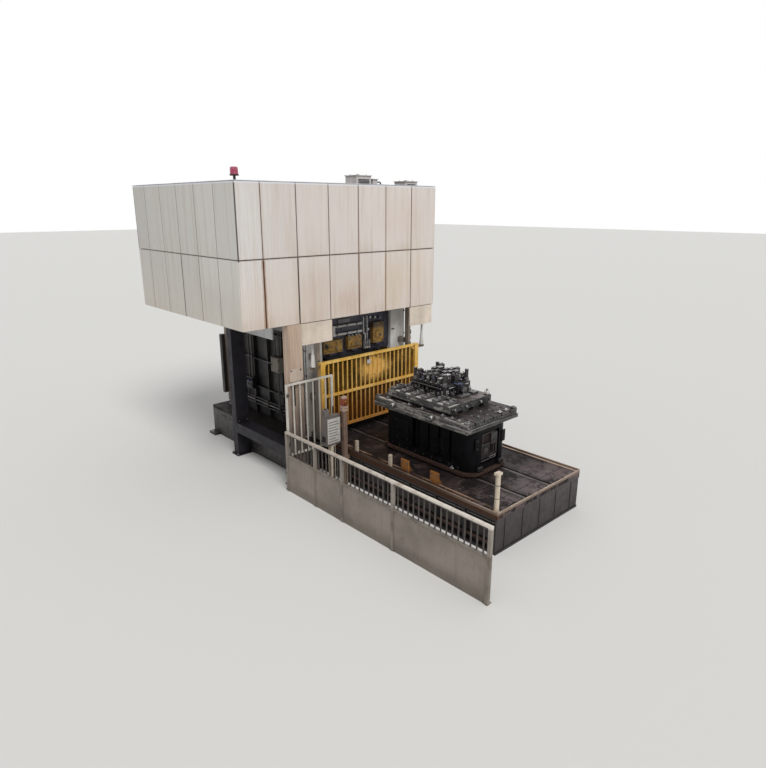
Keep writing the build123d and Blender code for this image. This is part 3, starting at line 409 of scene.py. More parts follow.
def amber_sheet():
    """The gate's tinted sheet: see-through amber, a painted golden highlight in an oval patch, darker to the
    left and brown low down, partly dirt and partly painted shade.
    """
    s = Shade("amber")
    blot = s.noise(2.6, 6, 0.66)
    s.start(s.ease(blot, 0.38, 0.62), (84, 62, 26), (150, 110, 46))
    # darker to the left: partly dirt, partly painted shade
    s.lay(s.ease(s.calc("MULTIPLY_ADD", blot, 0.9, s.x), -0.6, 0.3, 0.55, 0.0), (62, 46, 22))
    low = s.rag(s.z, -0.4, 1.9, 4)
    # brown, and darker still, low down: partly dirt, partly painted shade
    s.lay(s.ease(low, 1.3, 1.8, 0.85, 0.0), (104, 58, 22))
    s.lay(s.ease(low, 0.75, 1.15, 0.7, 0.0), (48, 30, 14))
    # painted highlight: a golden oval patch, which also lets less light through
    loose = s.rag(s.ellipse(s.x, 0.20, 0.56, 2.25, 0.34), -1.3, 4.0, 6, 0.7)
    painted_highlight_mask = s.ease(loose, -0.30, 0.55, 1.0, 0.0)
    s.lay(painted_highlight_mask, (238, 190, 108))
    grime = s.spots(7, 7, 0.75, 0.52, 0.66, 0.0, 0.6)
    s.lay(grime, (64, 44, 22))
    s.put(s.bsdf.inputs["Transmission Weight"], s.ease(s.plus(painted_highlight_mask, grime), 0.0, 1.0, 0.55, 0.06))
    s.bsdf.inputs["IOR"].default_value = 1.2
    s.done((0.25, 0.5), blot, 0.3, 0.003)


def yellow_block_paint():
    """The slide's clamp blocks: olive yellow, dark oil on the upper part of the right one."""
    s = Shade("block_yellow")
    s.start(s.spots(3.4, 6, 0.7, 0.36, 0.64), (168, 130, 58), (124, 94, 44))
    s.lay(s.spots(6.5, 8, 0.75, 0.52, 0.64, 0.0, 0.7), (56, 42, 26))
    s.lay(s.times(s.times(s.ease(s.x, 0.30, 0.40), s.ease(s.z, 3.08, 3.14)), 0.75), (46, 40, 28))
    s.lay(s.ease(s.plus(s.off(s.x, -0.985), s.off(s.z, 2.862)), 0.06, 0.16, 0.6, 0.0), (40, 30, 24))
    s.lay(s.times(s.times(s.rims(0.008), s.spots(22, 6, 0.75, 0.44, 0.60)), 0.7), (190, 172, 140))
    s.done((0.35, 0.6), s.noise(30, 6, 0.7), 0.35, 0.003)


def make_materials():
    """Every finish, by the name that the pieces use."""
    rust, soot_and_gap_shade = (139, 93, 58), (92, 84, 80)
    cladding_paint(
        "clad_front", 0, -2.882, 0.812, (219, 211, 206), (126, 110, 100), 0.40, 0.033, (0.0, 0.55),
        # the dark stain at -2.070 in the lower row is painted shade in the gap where the panel bends out
        ((-2.882, 0.08, 0.80, 1.0, 0.12, rust), (-2.070, 0.03, 0.80, 1.0, 0.15, soot_and_gap_shade),
         (0.366, 0.07, 0.40, 1.0, 0.2, (190, 150, 98)), (-0.446, 0.06, 0.50, 1.0, 0.3, rust),
         (1.178, 0.03, 0.25, 1.0, 1.0, rust), (-3.420, 0.02, 0.9, 0.0, 1.0, soot_and_gap_shade)),
        ((-1.66, 4.20, 0.55, 0.80, 0.50, (196, 174, 154)), (0.62, 4.30, 0.34, 0.80, 0.50, (208, 184, 144)),
         (1.25, 4.60, 0.50, 0.70, 0.35, (214, 196, 164)), (0.90, 5.70, 1.10, 0.55, 0.35, (212, 188, 176)),
         (-3.15, 5.70, 0.60, 1.60, 0.75, (224, 223, 222)), (-0.75, 3.95, 0.45, 0.45, 0.55, (192, 160, 136)),
         (-3.36, 4.30, 0.12, 0.80, 0.50, (232, 229, 224)), (-0.20, 4.30, 0.40, 0.70, 0.35, (204, 182, 160))))
    cladding_paint(
        "clad_side", 1, -2.355, 0.810, (205, 203, 199), (150, 145, 139), 0.12, 0.055, (0.75, -0.15),
        ((0.075, 0.04, 0.6, 1.0, 0.05, (104, 100, 98)), (-0.735, 0.02, 0.25, 1.0, 0.2, (130, 122, 116))),
        ((-1.2, 4.1, 0.6, 0.4, 0.3, (190, 184, 176)),))
    for paint in (post_paint, fence_paint, gate_paint, amber_sheet, yellow_block_paint, deck_paint,
                  edge_paint, lens_paint):
        paint()
    machined("rail", (92, 84, 80), (150, 142, 134), (164, 154, 144), (46, 38, 36))
    machined("table", (38, 29, 29), (86, 72, 67), (176, 172, 162), (84, 82, 80), lane=-0.70)
    machined("shoe", (66, 55, 52), (160, 154, 149), (206, 204, 198), (78, 78, 78), lane=-0.40)
    machined("die", (56, 52, 54), (104, 100, 102), (176, 176, 178), (44, 42, 46), (0.2, 0.5))

    # head and frame
    coat("side_skirt", (196, 197, 198), (140, 134, 128), 0.3, (168, 166, 164), 0.4, (120, 84, 60), reach=0.0)
    coat("skirt", (220, 207, 192), (160, 134, 112), 0.35, (196, 177, 158), 0.4, (120, 84, 60), 0.7,
         (0.45, 0.6), reach=0.0, top_line=3.608)
    coat("column", (240, 238, 232), (112, 103, 95), 0.16, (192, 187, 178), 0.40, (110, 98, 88),
         darker_below=(1.3, 2.4, 0.85), reach=0.04)
    # the side frames: dark all over and darker below 3.4 m, painted shade of the press's shaded inside
    coat("inner", (72, 71, 70), (30, 27, 28), 0.65, (48, 44, 44), 0.5, (120, 108, 96), 0.4,
         darker_below=(1.0, 3.4, 0.8), reach=0.3)
    coat("crown", (84, 82, 81), (34, 31, 30), 0.5, (54, 51, 49), 0.4, reach=0.3)
    coat("beam", (112, 109, 106), (50, 46, 44), 0.4, (82, 77, 73), 0.4, reach=0.15)
    coat("bed", (74, 72, 72), (28, 24, 24), 0.7, (46, 42, 42), 0.5, (126, 112, 98), rough=(0.3, 0.6),
         darker_below=(0.0, 0.5, 0.6))
    coat("band", (188, 172, 158), (120, 100, 86), 0.5, (156, 138, 122), 0.5, reach=0.04)
    coat("dark_post", (46, 44, 52), (20, 17, 20), 0.6, (62, 56, 54), 0.35, (104, 90, 80),
         darker_below=(0.0, 1.4, 0.6), shine=0.3)
    coat("side_box", (120, 114, 106), (62, 54, 48), 0.5, (92, 84, 78), 0.4)
    coat("roof", (158, 154, 150), (96, 88, 82), 0.5, (120, 112, 106), 0.3, reach=0.3)
    coat("trim", (206, 209, 217), (150, 146, 146), 0.3, (176, 174, 176), 0.3, rough=(0.35, 0.55), metal=0.1,
         reach=0.0)
    coat("unit", (214, 210, 209), (146, 138, 134), 0.4, (178, 171, 167), 0.4, (120, 100, 84), reach=0.06)

    # slide, gate, guarding and stations
    coat("slide", (60, 60, 76), (27, 25, 34), 0.6, (86, 84, 92), 0.35, (128, 124, 122), 0.6, (0.3, 0.55),
         edge=0.01)
    coat("dark_gate", (46, 41, 38), (24, 21, 20), 0.7, (34, 30, 28), 0.5, (84, 74, 62), reach=0.05)
    coat("guide", (164, 152, 140), (78, 68, 60), 0.5, (126, 110, 98), 0.5, (98, 78, 62),
         darker_below=(1.2, 2.7, 0.85))
    coat("white", (208, 204, 195), (112, 98, 86), 0.45, (168, 156, 142), 0.4, (112, 86, 66), 0.8, edge=0.004,
         reach=0.08)
    coat("sheet", (135, 126, 117), (84, 76, 69), 0.34, (110, 101, 93), 0.45, rough=(0.45, 0.65),
         darker_below=(0.0, 0.22, 0.5), reach=0.0)
    coat("box_side", (112, 107, 104), (60, 53, 50), 0.35, (88, 82, 79), 0.35, (80, 70, 62), edge=0.004)
    coat("brown_post", (136, 114, 100), (74, 56, 46), 0.6, (110, 88, 74), 0.4, reach=0.05)
    coat("cream", (210, 196, 176), (120, 98, 78), 0.5, (172, 152, 130), 0.4, reach=0.05)
    coat("red_box", (138, 68, 44), (80, 42, 28), 0.5, (168, 96, 70), 0.3, reach=0.04)
    coat("signal_pale", (178, 152, 136), (112, 88, 74), 0.4, (150, 124, 108), 0.3, reach=0.04)
    coat("paper", (194, 190, 185), (156, 148, 140), 0.3, (178, 172, 166), 0.3, reach=0.0)
    coat("ink", (104, 100, 98), (84, 78, 76), 0.3, (120, 114, 110), 0.3, reach=0.0)

    # track and carriage
    coat("track_frame", (56, 50, 50), (24, 20, 20), 0.7, (82, 66, 56), 0.4, (116, 96, 80),
         darker_below=(0.0, 0.5, 0.6))
    coat("stop", (150, 98, 44), (46, 31, 22), 0.9, (96, 66, 40), 0.7, (120, 104, 90), edge=0.005)
    coat("body", (15, 14, 18), (8, 7, 8), 0.7, (28, 26, 28), 0.35, (70, 65, 64), 0.4, (0.30, 0.6),
         darker_below=(0.8, 1.3, 0.5), shine=0.12)
    # cavity: the dark wall inside the carriage's front recess, painted shade
    coat("cavity", (40, 32, 31), (18, 14, 14), 0.7, (58, 44, 40), 0.4, shine=0.15, reach=0.06)
    coat("rim", (66, 47, 40), (26, 19, 18), 0.7, (86, 62, 52), 0.6, (158, 142, 130), 0.8, (0.4, 0.8),
         edge=0.010, shine=0.25)

    # metals, pipes and small parts
    coat("die_block", (66, 62, 64), (30, 27, 28), 0.6, (96, 92, 94), 0.4, (170, 168, 168), 0.8, (0.25, 0.55),
         metal=0.4, reach=0.08, edge=0.005)
    coat("bright", (176, 176, 178), (74, 68, 66), 0.5, (120, 114, 110), 0.3, rough=(0.18, 0.45), metal=0.7,
         reach=0.05)
    coat("bare", (226, 224, 220), (96, 88, 84), 0.5, (150, 144, 138), 0.5, rough=(0.3, 0.5), metal=0.2,
         reach=0.0)
    coat("dull", (112, 110, 110), (48, 42, 42), 0.6, (76, 70, 68), 0.4, rough=(0.25, 0.55), metal=0.5,
         reach=0.06)
    coat("black", (34, 31, 33), (18, 15, 15), 0.6, (56, 50, 50), 0.3, rough=(0.3, 0.6), metal=0.2, reach=0.05)
    coat("bronze", (150, 116, 62), (60, 44, 26), 0.5, (190, 160, 106), 0.5, rough=(0.25, 0.45), metal=0.6,
         reach=0.08)
    coat("chrome", (196, 198, 200), (90, 84, 80), 0.15, (160, 158, 156), 0.2, rough=(0.08, 0.2), metal=0.95,
         depth=0.0003, reach=0.0)
    coat("pipe", (212, 210, 206), (120, 112, 104), 0.45, (168, 160, 152), 0.3, reach=0.05)
    coat("shadow", (62, 59, 58), (28, 25, 25), 0.6, (44, 41, 40), 0.4, metal=0.3, reach=0.05)
    # hole: near black on the floors of screw recesses and on slots, painted shade
    coat("hole", (16, 14, 15), (10, 8, 8), 0.5, (30, 26, 26), 0.3, rough=(0.6, 0.9), reach=0.0)
    coat("blue", (70, 92, 128), (34, 36, 46), 0.5, (110, 122, 140), 0.3, reach=0.05)


FINISHES = {
    "bed": "bed anchor_feet", "deck": "bed_deck track_deck", "column": "columns", "inner": "side_frames",
    "bronze": "slide_gibs", "crown": "crown cladding_frame", "beam": "overhang_beams",
    "post": "left_front_post", "dark_post": "left_rear_post left_base_beam", "side_skirt": "left_side_skirt",
    "side_box": "side_junction_box", "clad_front": "front_cladding rear_cladding",
    "clad_side": "left_cladding right_cladding", "skirt": "front_skirts rear_skirts", "roof": "roof_deck",
    "trim": "roof_edge_trim", "unit": "roof_units", "black": "beacon_stem feed_cylinders",
    "red_lens": "beacon_lamp", "guide": "front_gate_guides rear_screen_posts",
    "dull": "gate_lift_barrels carriage_wheels shoe_clamps", "dark_gate": "rear_guard_screen",
    "white": "guard_corner_post guard_panel", "fence": "fence_rails", "sheet": "fence_sheets",
    "box_side": "control_box", "cream": "control_pole signal_unit track_posts", "brown_post": "signal_post",
    "track_frame": "track_frame", "rail": "track_rails", "edge_angle": "track_edge_angles",
    "stop": "carriage_stops", "body": "carriage_body", "rim": "carriage_rim", "table": "bolster_table",
    "shoe": "die_shoe", "die": "lower_die", "die_block": "die_fittings", "slide": "slide",
    "block_yellow": "slide_clamp_blocks", "pipe": "slide_front_pipes gate_lift_rods",
    "chrome": "slide_plungers", "gate": "lift_gate",
}


def dress_nodes():
    """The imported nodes' own finishes."""
    for finish, names in FINISHES.items():
        for name in names.split():
            for place in NODES[name].material_slots:
                place.material = M[finish]


# Camera and light

def camera():
    """The photograph's standpoint, ahead and to the left of the press, above the low fence."""
    azimuth, elevation, roll = (math.radians(a) for a in (42.8, -16.22, 0.07))
    level = math.cos(elevation)
    look = Vector((math.sin(azimuth) * level, math.cos(azimuth) * level, math.sin(elevation)))
    turn = look.to_track_quat("-Z", "Y").to_matrix() @ Matrix.Rotation(roll, 3, "Z")
    data = bpy.data.cameras.new("camera")
    data.lens = 28.575
    data.sensor_width = 36
    data.shift_y = -1 / 768
    data.clip_end = 400
    obj = bpy.data.objects.new("camera", data)
    obj.location = (-9.328, -12.734, 5.980)
    obj.rotation_euler = turn.to_euler()
    bpy.context.scene.collection.objects.link(obj)
    bpy.context.scene.camera = obj


def seen_directly(tree):
    """1 for rays that come straight, or by a mirror or glass, from the camera."""
    path = tree.nodes.new("ShaderNodeLightPath")
    total = path.outputs["Is Camera Ray"]
    for name in ("Is Glossy Ray", "Is Transmission Ray"):
        add = tree.nodes.new("ShaderNodeMath")
        add.operation = "MAXIMUM"
        tree.links.new(total, add.inputs[0])
        tree.links.new(path.outputs[name], add.inputs[1])
        total = add.outputs[0]
    return total


def studio():
    """Soft overcast world, one wide sun, and a pale floor."""
    scene = bpy.context.scene
    scene.view_settings.view_transform = "Standard"
    world = bpy.data.worlds.new("world")
    scene.world = world
    world.use_nodes = True
    tree = world.node_tree
    back = tree.nodes["Background"]
    back.inputs["Color"].default_value = (1, 1, 1, 1)
    level = tree.nodes.new("ShaderNodeMapRange")
    level.inputs["To Min"].default_value = 0.46
    level.inputs["To Max"].default_value = 1.0
    tree.links.new(seen_directly(tree), level.inputs["Value"])
    tree.links.new(level.outputs[0], back.inputs["Strength"])

    sun = bpy.data.lights.new("sun", "SUN")
    sun.energy = 1.75
    sun.angle = math.radians(28)
    sun.color = (1.0, 0.985, 0.96)
    lamp = bpy.data.objects.new("sun", sun)
    lamp.rotation_euler = Vector((0.5, 1.26, -1.6)).to_track_quat("-Z", "Y").to_euler()
    scene.collection.objects.link(lamp)

    floor = Shade("floor")
    floor.put(floor.bsdf.inputs["Base Color"], shade((226, 226, 224)))
    floor.bsdf.inputs["Roughness"].default_value = 0.85
    mesh = bpy.data.meshes.new("floor")
    r = 150
    mesh.from_pydata([(-r, -r, 0), (r, -r, 0), (r, r, 0), (-r, r, 0)], [], [(0, 1, 2, 3)])
    mesh.materials.append(floor.mat)
    obj = bpy.data.objects.new("floor", mesh)
    obj.location = (0, 0, -0.002)
    scene.collection.objects.link(obj)


# Mesh making

class Kit:
    """Collects closed solids, each with its finish, into one mesh piece. A place's coordinates may be
    lists, which puts the same thing at every place that they give; mark is the number of a finish."""

    def __init__(self, *finishes):
        self.finishes = finishes
        self.points = []
        self.faces = []
        self.marks = []

    def add(self, points, faces, mark=0):
        start = len(self.points)
        self.points.extend(points)
        self.faces.extend(tuple(start + i for i in f) for f in faces)
        self.marks.extend([mark] * len(faces))

    def box(self, x0, x1, y0, y1, z0, z1, mark=0, edge=0.003):
        """A box with small chamfers along all its edges; each pair may come in either order."""
        low, high = zip(*(sorted(pair) for pair in ((x0, x1), (y0, y1), (z0, z1))))
        edge = min(edge, 0.3 * min(b - a for a, b in zip(low, high)))
        points = [Vector([(high if c[i] else low)[i] + (0 if i == k else edge * (1 - 2 * c[i]))
                          for i in range(3)]) for c in product((0, 1), repeat=3) for k in range(3)]
        step = (12, 6, 3)           # from a corner's points to those of the next corner along x, y or z
        faces = []
        for k in range(3):
            a, b = (i for i in range(3) if i != k)
            for side in (0, step[k]):
                faces.append([side + n + k for n in (0, step[a], step[a] + step[b], step[b])])
            for n in (0, step[b], step[a], step[a] + step[b]):
                m = n + step[k]
                faces.append([n + a, m + a, m + b, n + b])
        faces.extend([n, n + 1, n + 2] for n in range(0, 24, 3))
        middle = (Vector(low) + Vector(high)) / 2
        for i, face in enumerate(faces):
            p, q, r = (points[n] for n in face[:3])
            if (q - p).cross(r - p).dot(p - middle) <= 0:
                faces[i] = face[::-1]
        self.add(points, faces, mark)

    def loft(self, rings, mark, closed=False, flip=False):
        """Quads from each ring of points to the next; the ends are capped, or joined when closed."""
        n, count = len(rings[0]), len(rings)
        faces = []
        for k in range(count if closed else count - 1):
            a, b = k * n, (k + 1) % count * n
            for i in range(n):
                j = (i + 1) % n
                faces.append((a + i, a + j, b + j, b + i))
        if not closed:
            faces.append(tuple(range(n))[::-1])
            faces.append(tuple((count - 1) * n + i for i in range(n)))
        if flip:
            faces = [face[::-1] for face in faces]
        self.add([Vector(p) for ring in rings for p in ring], faces, mark)

    def lathe(self, place, run, profile, sides=16, mark=0):
        """A turned solid from each place along run; profile lists (share of the run, radius)."""
        run = Vector(run)
        turn = run.to_track_quat("Z", "Y").to_matrix()
        for start in spread(place):
            self.loft([[Vector(start) + run * share + turn @ Vector((*around(0, 0, r, i / sides), 0))
                        for i in range(sides)] for share, r in profile], mark)

    def rod(self, place, run, r, sides=16, mark=0):
        """A round bar with chamfered ends."""
        end = min(0.12 * r / Vector(run).length, 0.3)
        self.lathe(place, run, ((0, r * 0.88), (end, r), (1 - end, r), (1, r * 0.88)), sides, mark)

    def bolt(self, place, way, size=0.024, mark=0, washer=True):
        """A hexagon head on a washer; size is across the flats, and way points outwards."""
        way = Vector(way) * size
        corner = size * 0.577
        if washer:
            self.lathe(place, way * 0.12, ((0, size * 0.95), (1, size * 0.92)), 12, mark)
        self.lathe(place, way * 0.74, ((0, corner), (0.85, corner), (1, size * 0.49)), 6, mark)

    def stud(self, place, size, mark=0):
        """A foundation stud with its washer and nut."""
        self.bolt(place, UP, size, mark)
        self.rod((*place[:2], place[2] + 0.5 * size), (0, 0, 0.65 * size), size * 0.42, 10, mark)

    def socket(self, place, way, size=0.03, mark=0, hole=1):
        """A socket-head screw with its recess; the dark disc at the recess's floor is painted shade."""
        way = Vector(way) * size
        r = size / 2
        for start in spread(place):
            self.lathe(start, way * 0.5, ((0, r), (0.85, r), (1, r * 0.86), (1, r * 0.52), (0.55, r * 0.50)),
                       12, mark)
            self.lathe(Vector(start) + way * 0.25, way * 0.05, ((0, r * 0.5), (1, r * 0.5)), 6, hole)

    def ring(self, x, y, z0, z1, inner, outer, mark=0, sides=40):
        """A flat ring between two heights."""
        corners = ((z0, inner), (z0, outer), (z1, outer), (z1, inner))
        self.loft([[(*around(x, y, r, i / sides), z) for i in range(sides)] for z, r in corners], mark,
                  True, z1 < z0)

    def tube(self, start, *moves, r, mark=0, sides=10, bend=None):
        """A rigid pipe with smooth bends; moves are pairs such as "z", 3.0 that set coordinates."""
        route = [Vector(start)]
        for axes, goal in zip(moves[::2], moves[1::2]):
            route.append(route[-1].copy())
            for axis, value in zip(axes, goal if len(axes) > 1 else (goal,)):
                setattr(route[-1], axis, value)
        bend = bend or 2.5 * r
        line = [route[0]]
        for a, b, c in zip(route, route[1:], route[2:]):
            cut = min(bend, (b - a).length * 0.45, (c - b).length * 0.45)
            p = b - (b - a).normalized() * cut
            q = b + (c - b).normalized() * cut
            line += [p * (1 - t) ** 2 + b * 2 * t * (1 - t) + q * t * t for t in between(0, 1, 7)]
        line.append(route[-1])
        side = (line[1] - line[0]).normalized().orthogonal().normalized()
        rings = []
        for i, p in enumerate(line):
            way = (line[min(i + 1, len(line) - 1)] - line[max(i - 1, 0)]).normalized()
            side = (side - way * side.dot(way)).normalized()
            up = way.cross(side)
            turns = (around(0, 0, r, k / sides) for k in range(sides))
            rings.append([p + side * u + up * v for u, v in turns])
        self.loft(rings, mark)

    def piece(self, name, body):
        """The finished mesh object, riding on its body."""
        mesh = bpy.data.meshes.new(name)
        mesh.from_pydata([tuple(p) for p in self.points], [], self.faces)
        for finish in self.finishes:
            mesh.materials.append(M[finish])
        mesh.polygons.foreach_set("material_index", self.marks)
        mesh.polygons.foreach_set("use_smooth", [True] * len(self.faces))
        mesh.update()
        mesh.validate()
        mesh.set_sharp_from_angle(angle=math.radians(35))
        obj = bpy.data.objects.new(name, mesh)
        bpy.context.scene.collection.objects.link(obj)
        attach(obj, body)
        return obj


# Head and press frame

def beacon():
    """Red beacon: base, and ribbed lens with its cap."""
    low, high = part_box("beacon_lamp")
    x, y, r = (low.x + high.x) / 2, (low.y + high.y) / 2, (high.x - low.x) / 2
    base = 0.022
    kit = Kit("red_lens", "black")
    kit.lathe((x, y, low.z), (0, 0, base), ((0, r * 0.9), (0.3, r), (1, r)), 24, 1)
    lens = [(i / 12, (0.86 + 0.025 * (i % 2)) * (1 - 0.55 * max(0, i / 12 - 0.62) ** 1.5)) for i in range(12)]
    lens += [(0.96, 0.62), (1.0, 0.30)]
    kit.lathe((x, y, low.z + base), (0, 0, high.z - low.z - base), [(share, r * k) for share, k in lens], 24)
    lamp = kit.piece("beacon_lens", "press")
    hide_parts("beacon_lamp")


def roof_details():
    """Louvres, cap flashings and lifting eyes on the roof units, and ribs in the roof sheet."""
    kit = Kit("unit", "black", "dull")
    low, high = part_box("roof_units")
    for x, width, height in ((-0.070, 0.440, 0.310), (0.420, 0.140, 0.240), (1.470, 0.400, 0.220)):
        top = low.z + height
        kit.box(x - 0.02, x + width + 0.02, low.y - 0.02, high.y + 0.02, top, top + 0.018)
        if width > 0.3:
            for i in range(7):
                z = low.z + 0.05 + i * (height - 0.1) / 7
                kit.box(x + 0.06, x + width - 0.06, low.y - 0.012, low.y + 0.002, z, z + 0.010, 1, 0.002)
            kit.bolt(((x + 0.08, x + width - 0.08), (low.y + 0.08, high.y - 0.08), top + 0.018), UP, mark=2)
        kit.rod((x + width / 2, low.y + 0.2, top), (0, 0, 0.04), 0.035, 16, 2)
    kit.tube((0.56, low.y + 0.12, low.z + 0.12), "x", 1.47, r=0.022, mark=2)
    kit.tube((0.56, low.y + 0.26, low.z + 0.20), "x", 0.9, "z", low.z + 0.08, "x", 1.47, r=0.018, mark=2)
    kit.piece("roof_unit_trim", "press")
    low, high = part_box("roof_deck")
    ribs = Kit("roof")
    for x in between(low.x + 0.25, high.x - 0.25, 16):
        for y0, y1 in ((low.y + 0.02, -1.95), (-1.25, high.y - 0.02)):
            ribs.box(x - 0.012, x + 0.012, y0, y1, high.z, high.z + 0.022)
    ribs.piece("roof_sheet_ribs", "press")


def bed_details():
    """Anchor nuts, bolted cover plates on the bed's sides, and column foot flanges."""
    kit = Kit("dull", "bed")
    kit.stud(((-2.085, 2.085), (-1.845, 1.845), 0.060), 0.062)
    for side, y in product(SIDES, (-1.2, 0.0, 1.2)):
        kit.box(side * 2.000, side * 2.014, y - 0.38, y + 0.38, 0.16, 0.60, 1, 0.004)
        kit.bolt((side * 2.014, between(y - 0.33, y + 0.33, 4), (0.20, 0.56)), (side, 0, 0), 0.026)
    kit.piece("bed_side_covers", "press")
    feet = Kit("column", "dull")
    for sx, sy in product(SIDES, SIDES):
        y0, y1 = sorted((sy * 1.285, sy * 1.775))
        feet.box(sx * 1.535, sx * 1.65, y0, y1, 0.780, BED_PLATE, 0, 0.004)
        feet.stud((sx * 1.605, between(y0 + 0.07, y1 - 0.07, 3), BED_PLATE), 0.040, 1)
        for y in (y0 + 0.16, y1 - 0.16):
            feet.box(sx * 1.530, sx * 1.555, y - 0.012, y + 0.012, BED_PLATE, 1.02)
    feet.piece("column_feet", "press")


def column_details():
    """Oil pipes, conduits and gib screws on the columns, and rings round the plungers."""
    kit = Kit("dull", "bright")
    for sx, sy in product(SIDES, SIDES):
        kit.socket(((sx * 1.12, sx * 1.17), sy * 1.780, between(1.0, 3.5, 6)), (0, sy, 0), 0.036, 0, 0)
    for sx in SIDES:
        for y, r, sides, mark in ((-1.745, 0.016, 10, 1), (-1.665, 0.012, 8, 0)):
            kit.tube((sx * 1.555, y, BED_PLATE), "z", PIPE_TOP, r=r, sides=sides, mark=mark)
        for z in between(1.1, 3.4, 5):
            kit.box(sx * 1.530, sx * 1.576, -1.775, -1.645, z, z + 0.03)
    kit.piece("column_screws_and_pipes", "press")
    rings = Kit("dull", "black")
    for x, r, count in ((0, 0.330, 20), (-0.64, 0.140, 10), (0.64, 0.140, 10)):
        rings.ring(x, 0, 3.700, 3.684, r + 0.003, r + 0.075)
        for i in range(count):
            screw = (*around(x, 0, r + 0.04, i / count), 3.684)
            rings.lathe(screw, (0, 0, -0.008), ((0, 0.014), (1, 0.012)), 6, 1)
    rings.piece("plunger_gland_rings", "press")


def side_details():
    """Junction box door, conduits, a valve block and pipes on the ribbed side frames."""
    low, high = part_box("side_junction_box")
    kit = Kit("side_box", "shadow", "black")
    kit.box(low.x - 0.012, low.x, low.y + 0.015, high.y - 0.015, low.z + 0.015, high.z - 0.015, 0, 0.004)
    kit.rod((low.x - 0.018, low.y + 0.012, (low.z + 0.04, high.z - 0.10)), (0, 0, 0.06), 0.008, 8, 1)
    kit.rod((low.x - 0.012, high.y - 0.05, 2.31), (-0.016, 0, 0), 0.014, 10, 2)
    kit.tube((-1.535, -0.68, high.z), "z", PIPE_TOP, r=0.018, mark=1)
    kit.tube((-1.535, -0.50, high.z), "z", 2.9, "xyz", (-1.500, -0.15, 3.2), "z", PIPE_TOP, r=0.014, mark=1)
    kit.tube((-1.535, -0.60, low.z), "z", 1.2, "xz", (-1.48, 0.95), "z", 0.80, r=0.018, mark=1)
    kit.piece("side_box_door_and_conduits", "press")
    pipes = Kit("shadow", "black", "dull", "blue")
    ports = (0.63, 0.75, 0.87)
    for sx in SIDES:
        for z, mark in ((1.05, 0), (1.13, 2), (1.21, 0)):
            pipes.tube((sx * 1.478, -1.35, z), "y", 1.35, r=0.017, mark=mark)
        for y in between(-1.2, 1.2, 5):
            pipes.box(sx * 1.455, sx * 1.505, y - 0.02, y + 0.02, 1.02, 1.25, 1)
        pipes.box(sx * 1.457, sx * 1.59, 0.55, 0.95, 1.45, 1.75, 1, 0.006)
        pipes.rod((sx * 1.59, ports, 1.68), (sx * 0.07, 0, 0), 0.026, 14, 3)
        pipes.rod((sx * 1.59, ports, 1.55), (sx * 0.025, 0, 0), 0.02, 6, 2)
        for y in (0.60, 0.75):
            pipes.tube((sx * 1.52, y, 1.75), "z", PIPE_TOP, r=0.022)
        pipes.tube((sx * 1.50, 0.90, 1.45), "z", 1.21, r=0.017)
        for z in (2.3, 3.1):
            pipes.box(sx * 1.455, sx * 1.55, 0.55, 0.80, z, z + 0.03, 1)
    pipes.piece("side_oil_pipes", "press")


def post_details():
    """Base plates with anchors, the paler band plate, the dark slot plate, which is painted shade, and head
    brackets.
    """
    x0, x1 = -2.390, -2.040         # the left posts' sides
    kit = Kit("post", "dull", "hole", "band")
    kit.box(x0 - 0.06, x1 + 0.06, -2.355, -2.095, 0, 0.025, 0, 0.004)
    kit.stud(((x0 - 0.035, x1 + 0.035), (-2.30, -2.14), 0.025), 0.034, 1)
    kit.box(x0 + 0.005, x1 - 0.03, -2.363, -2.352, 2.34, 2.68, 3)
    kit.bolt(((x0 + 0.04, x1 - 0.07), -2.363, (2.38, 2.64)), FRONT, 0.022, 1)
    # the slot as a flat near-black plate: painted shade
    kit.box(-2.345, -2.262, -2.362, -2.353, 1.86, 2.335, 2)
    kit.piece("left_front_post_plates", "press")
    dark = Kit("dark_post", "dull")
    dark.box(x0 - 0.05, x1 + 0.05, -0.01, 0.29, 0, 0.025, 0, 0.004)
    dark.stud(((x0 - 0.028, x1 + 0.028), (0.02, 0.26), 0.025), 0.034, 1)
    dark.box(x0 - 0.03, x1 + 0.03, 0.0, 0.28, 3.43, 3.46, 0, 0.004)
    dark.bolt(((x0 - 0.012, x1 + 0.012), (0.02, 0.26), 3.43), DOWN, 0.028, 1)
    for y, face, way in ((-2.155, -2.135, REAR), (0.020, 0.020, FRONT)):
        dark.box(x0 + 0.01, x1 - 0.01, y, y + 0.02, 0.56, 0.92)
        dark.bolt(((x0 + 0.06, x1 - 0.06), face, 0.89), way, 0.026, 1)
    dark.piece("left_rear_post_plates", "press")
    beams = Kit("beam", "dull")
    both_sides = [y + side * 0.07 for y in (-1.545, 0.075, 1.695) for side in SIDES]
    beams.bolt(((-3.10, -2.70, -2.20), both_sides, 3.70), DOWN, 0.030, 1)
    for y in between(-1.9, 1.6, 8):
        beams.box(x0 - 0.005, x0, y - 0.008, y + 0.008, 3.47, 3.69, 0, 0.001)
        beams.box(x1, x1 + 0.010, y - 0.010, y + 0.010, 3.47, 3.69, 0, 0.001)
    beams.piece("overhang_bolts_and_ribs", "press")


# Slide and gate

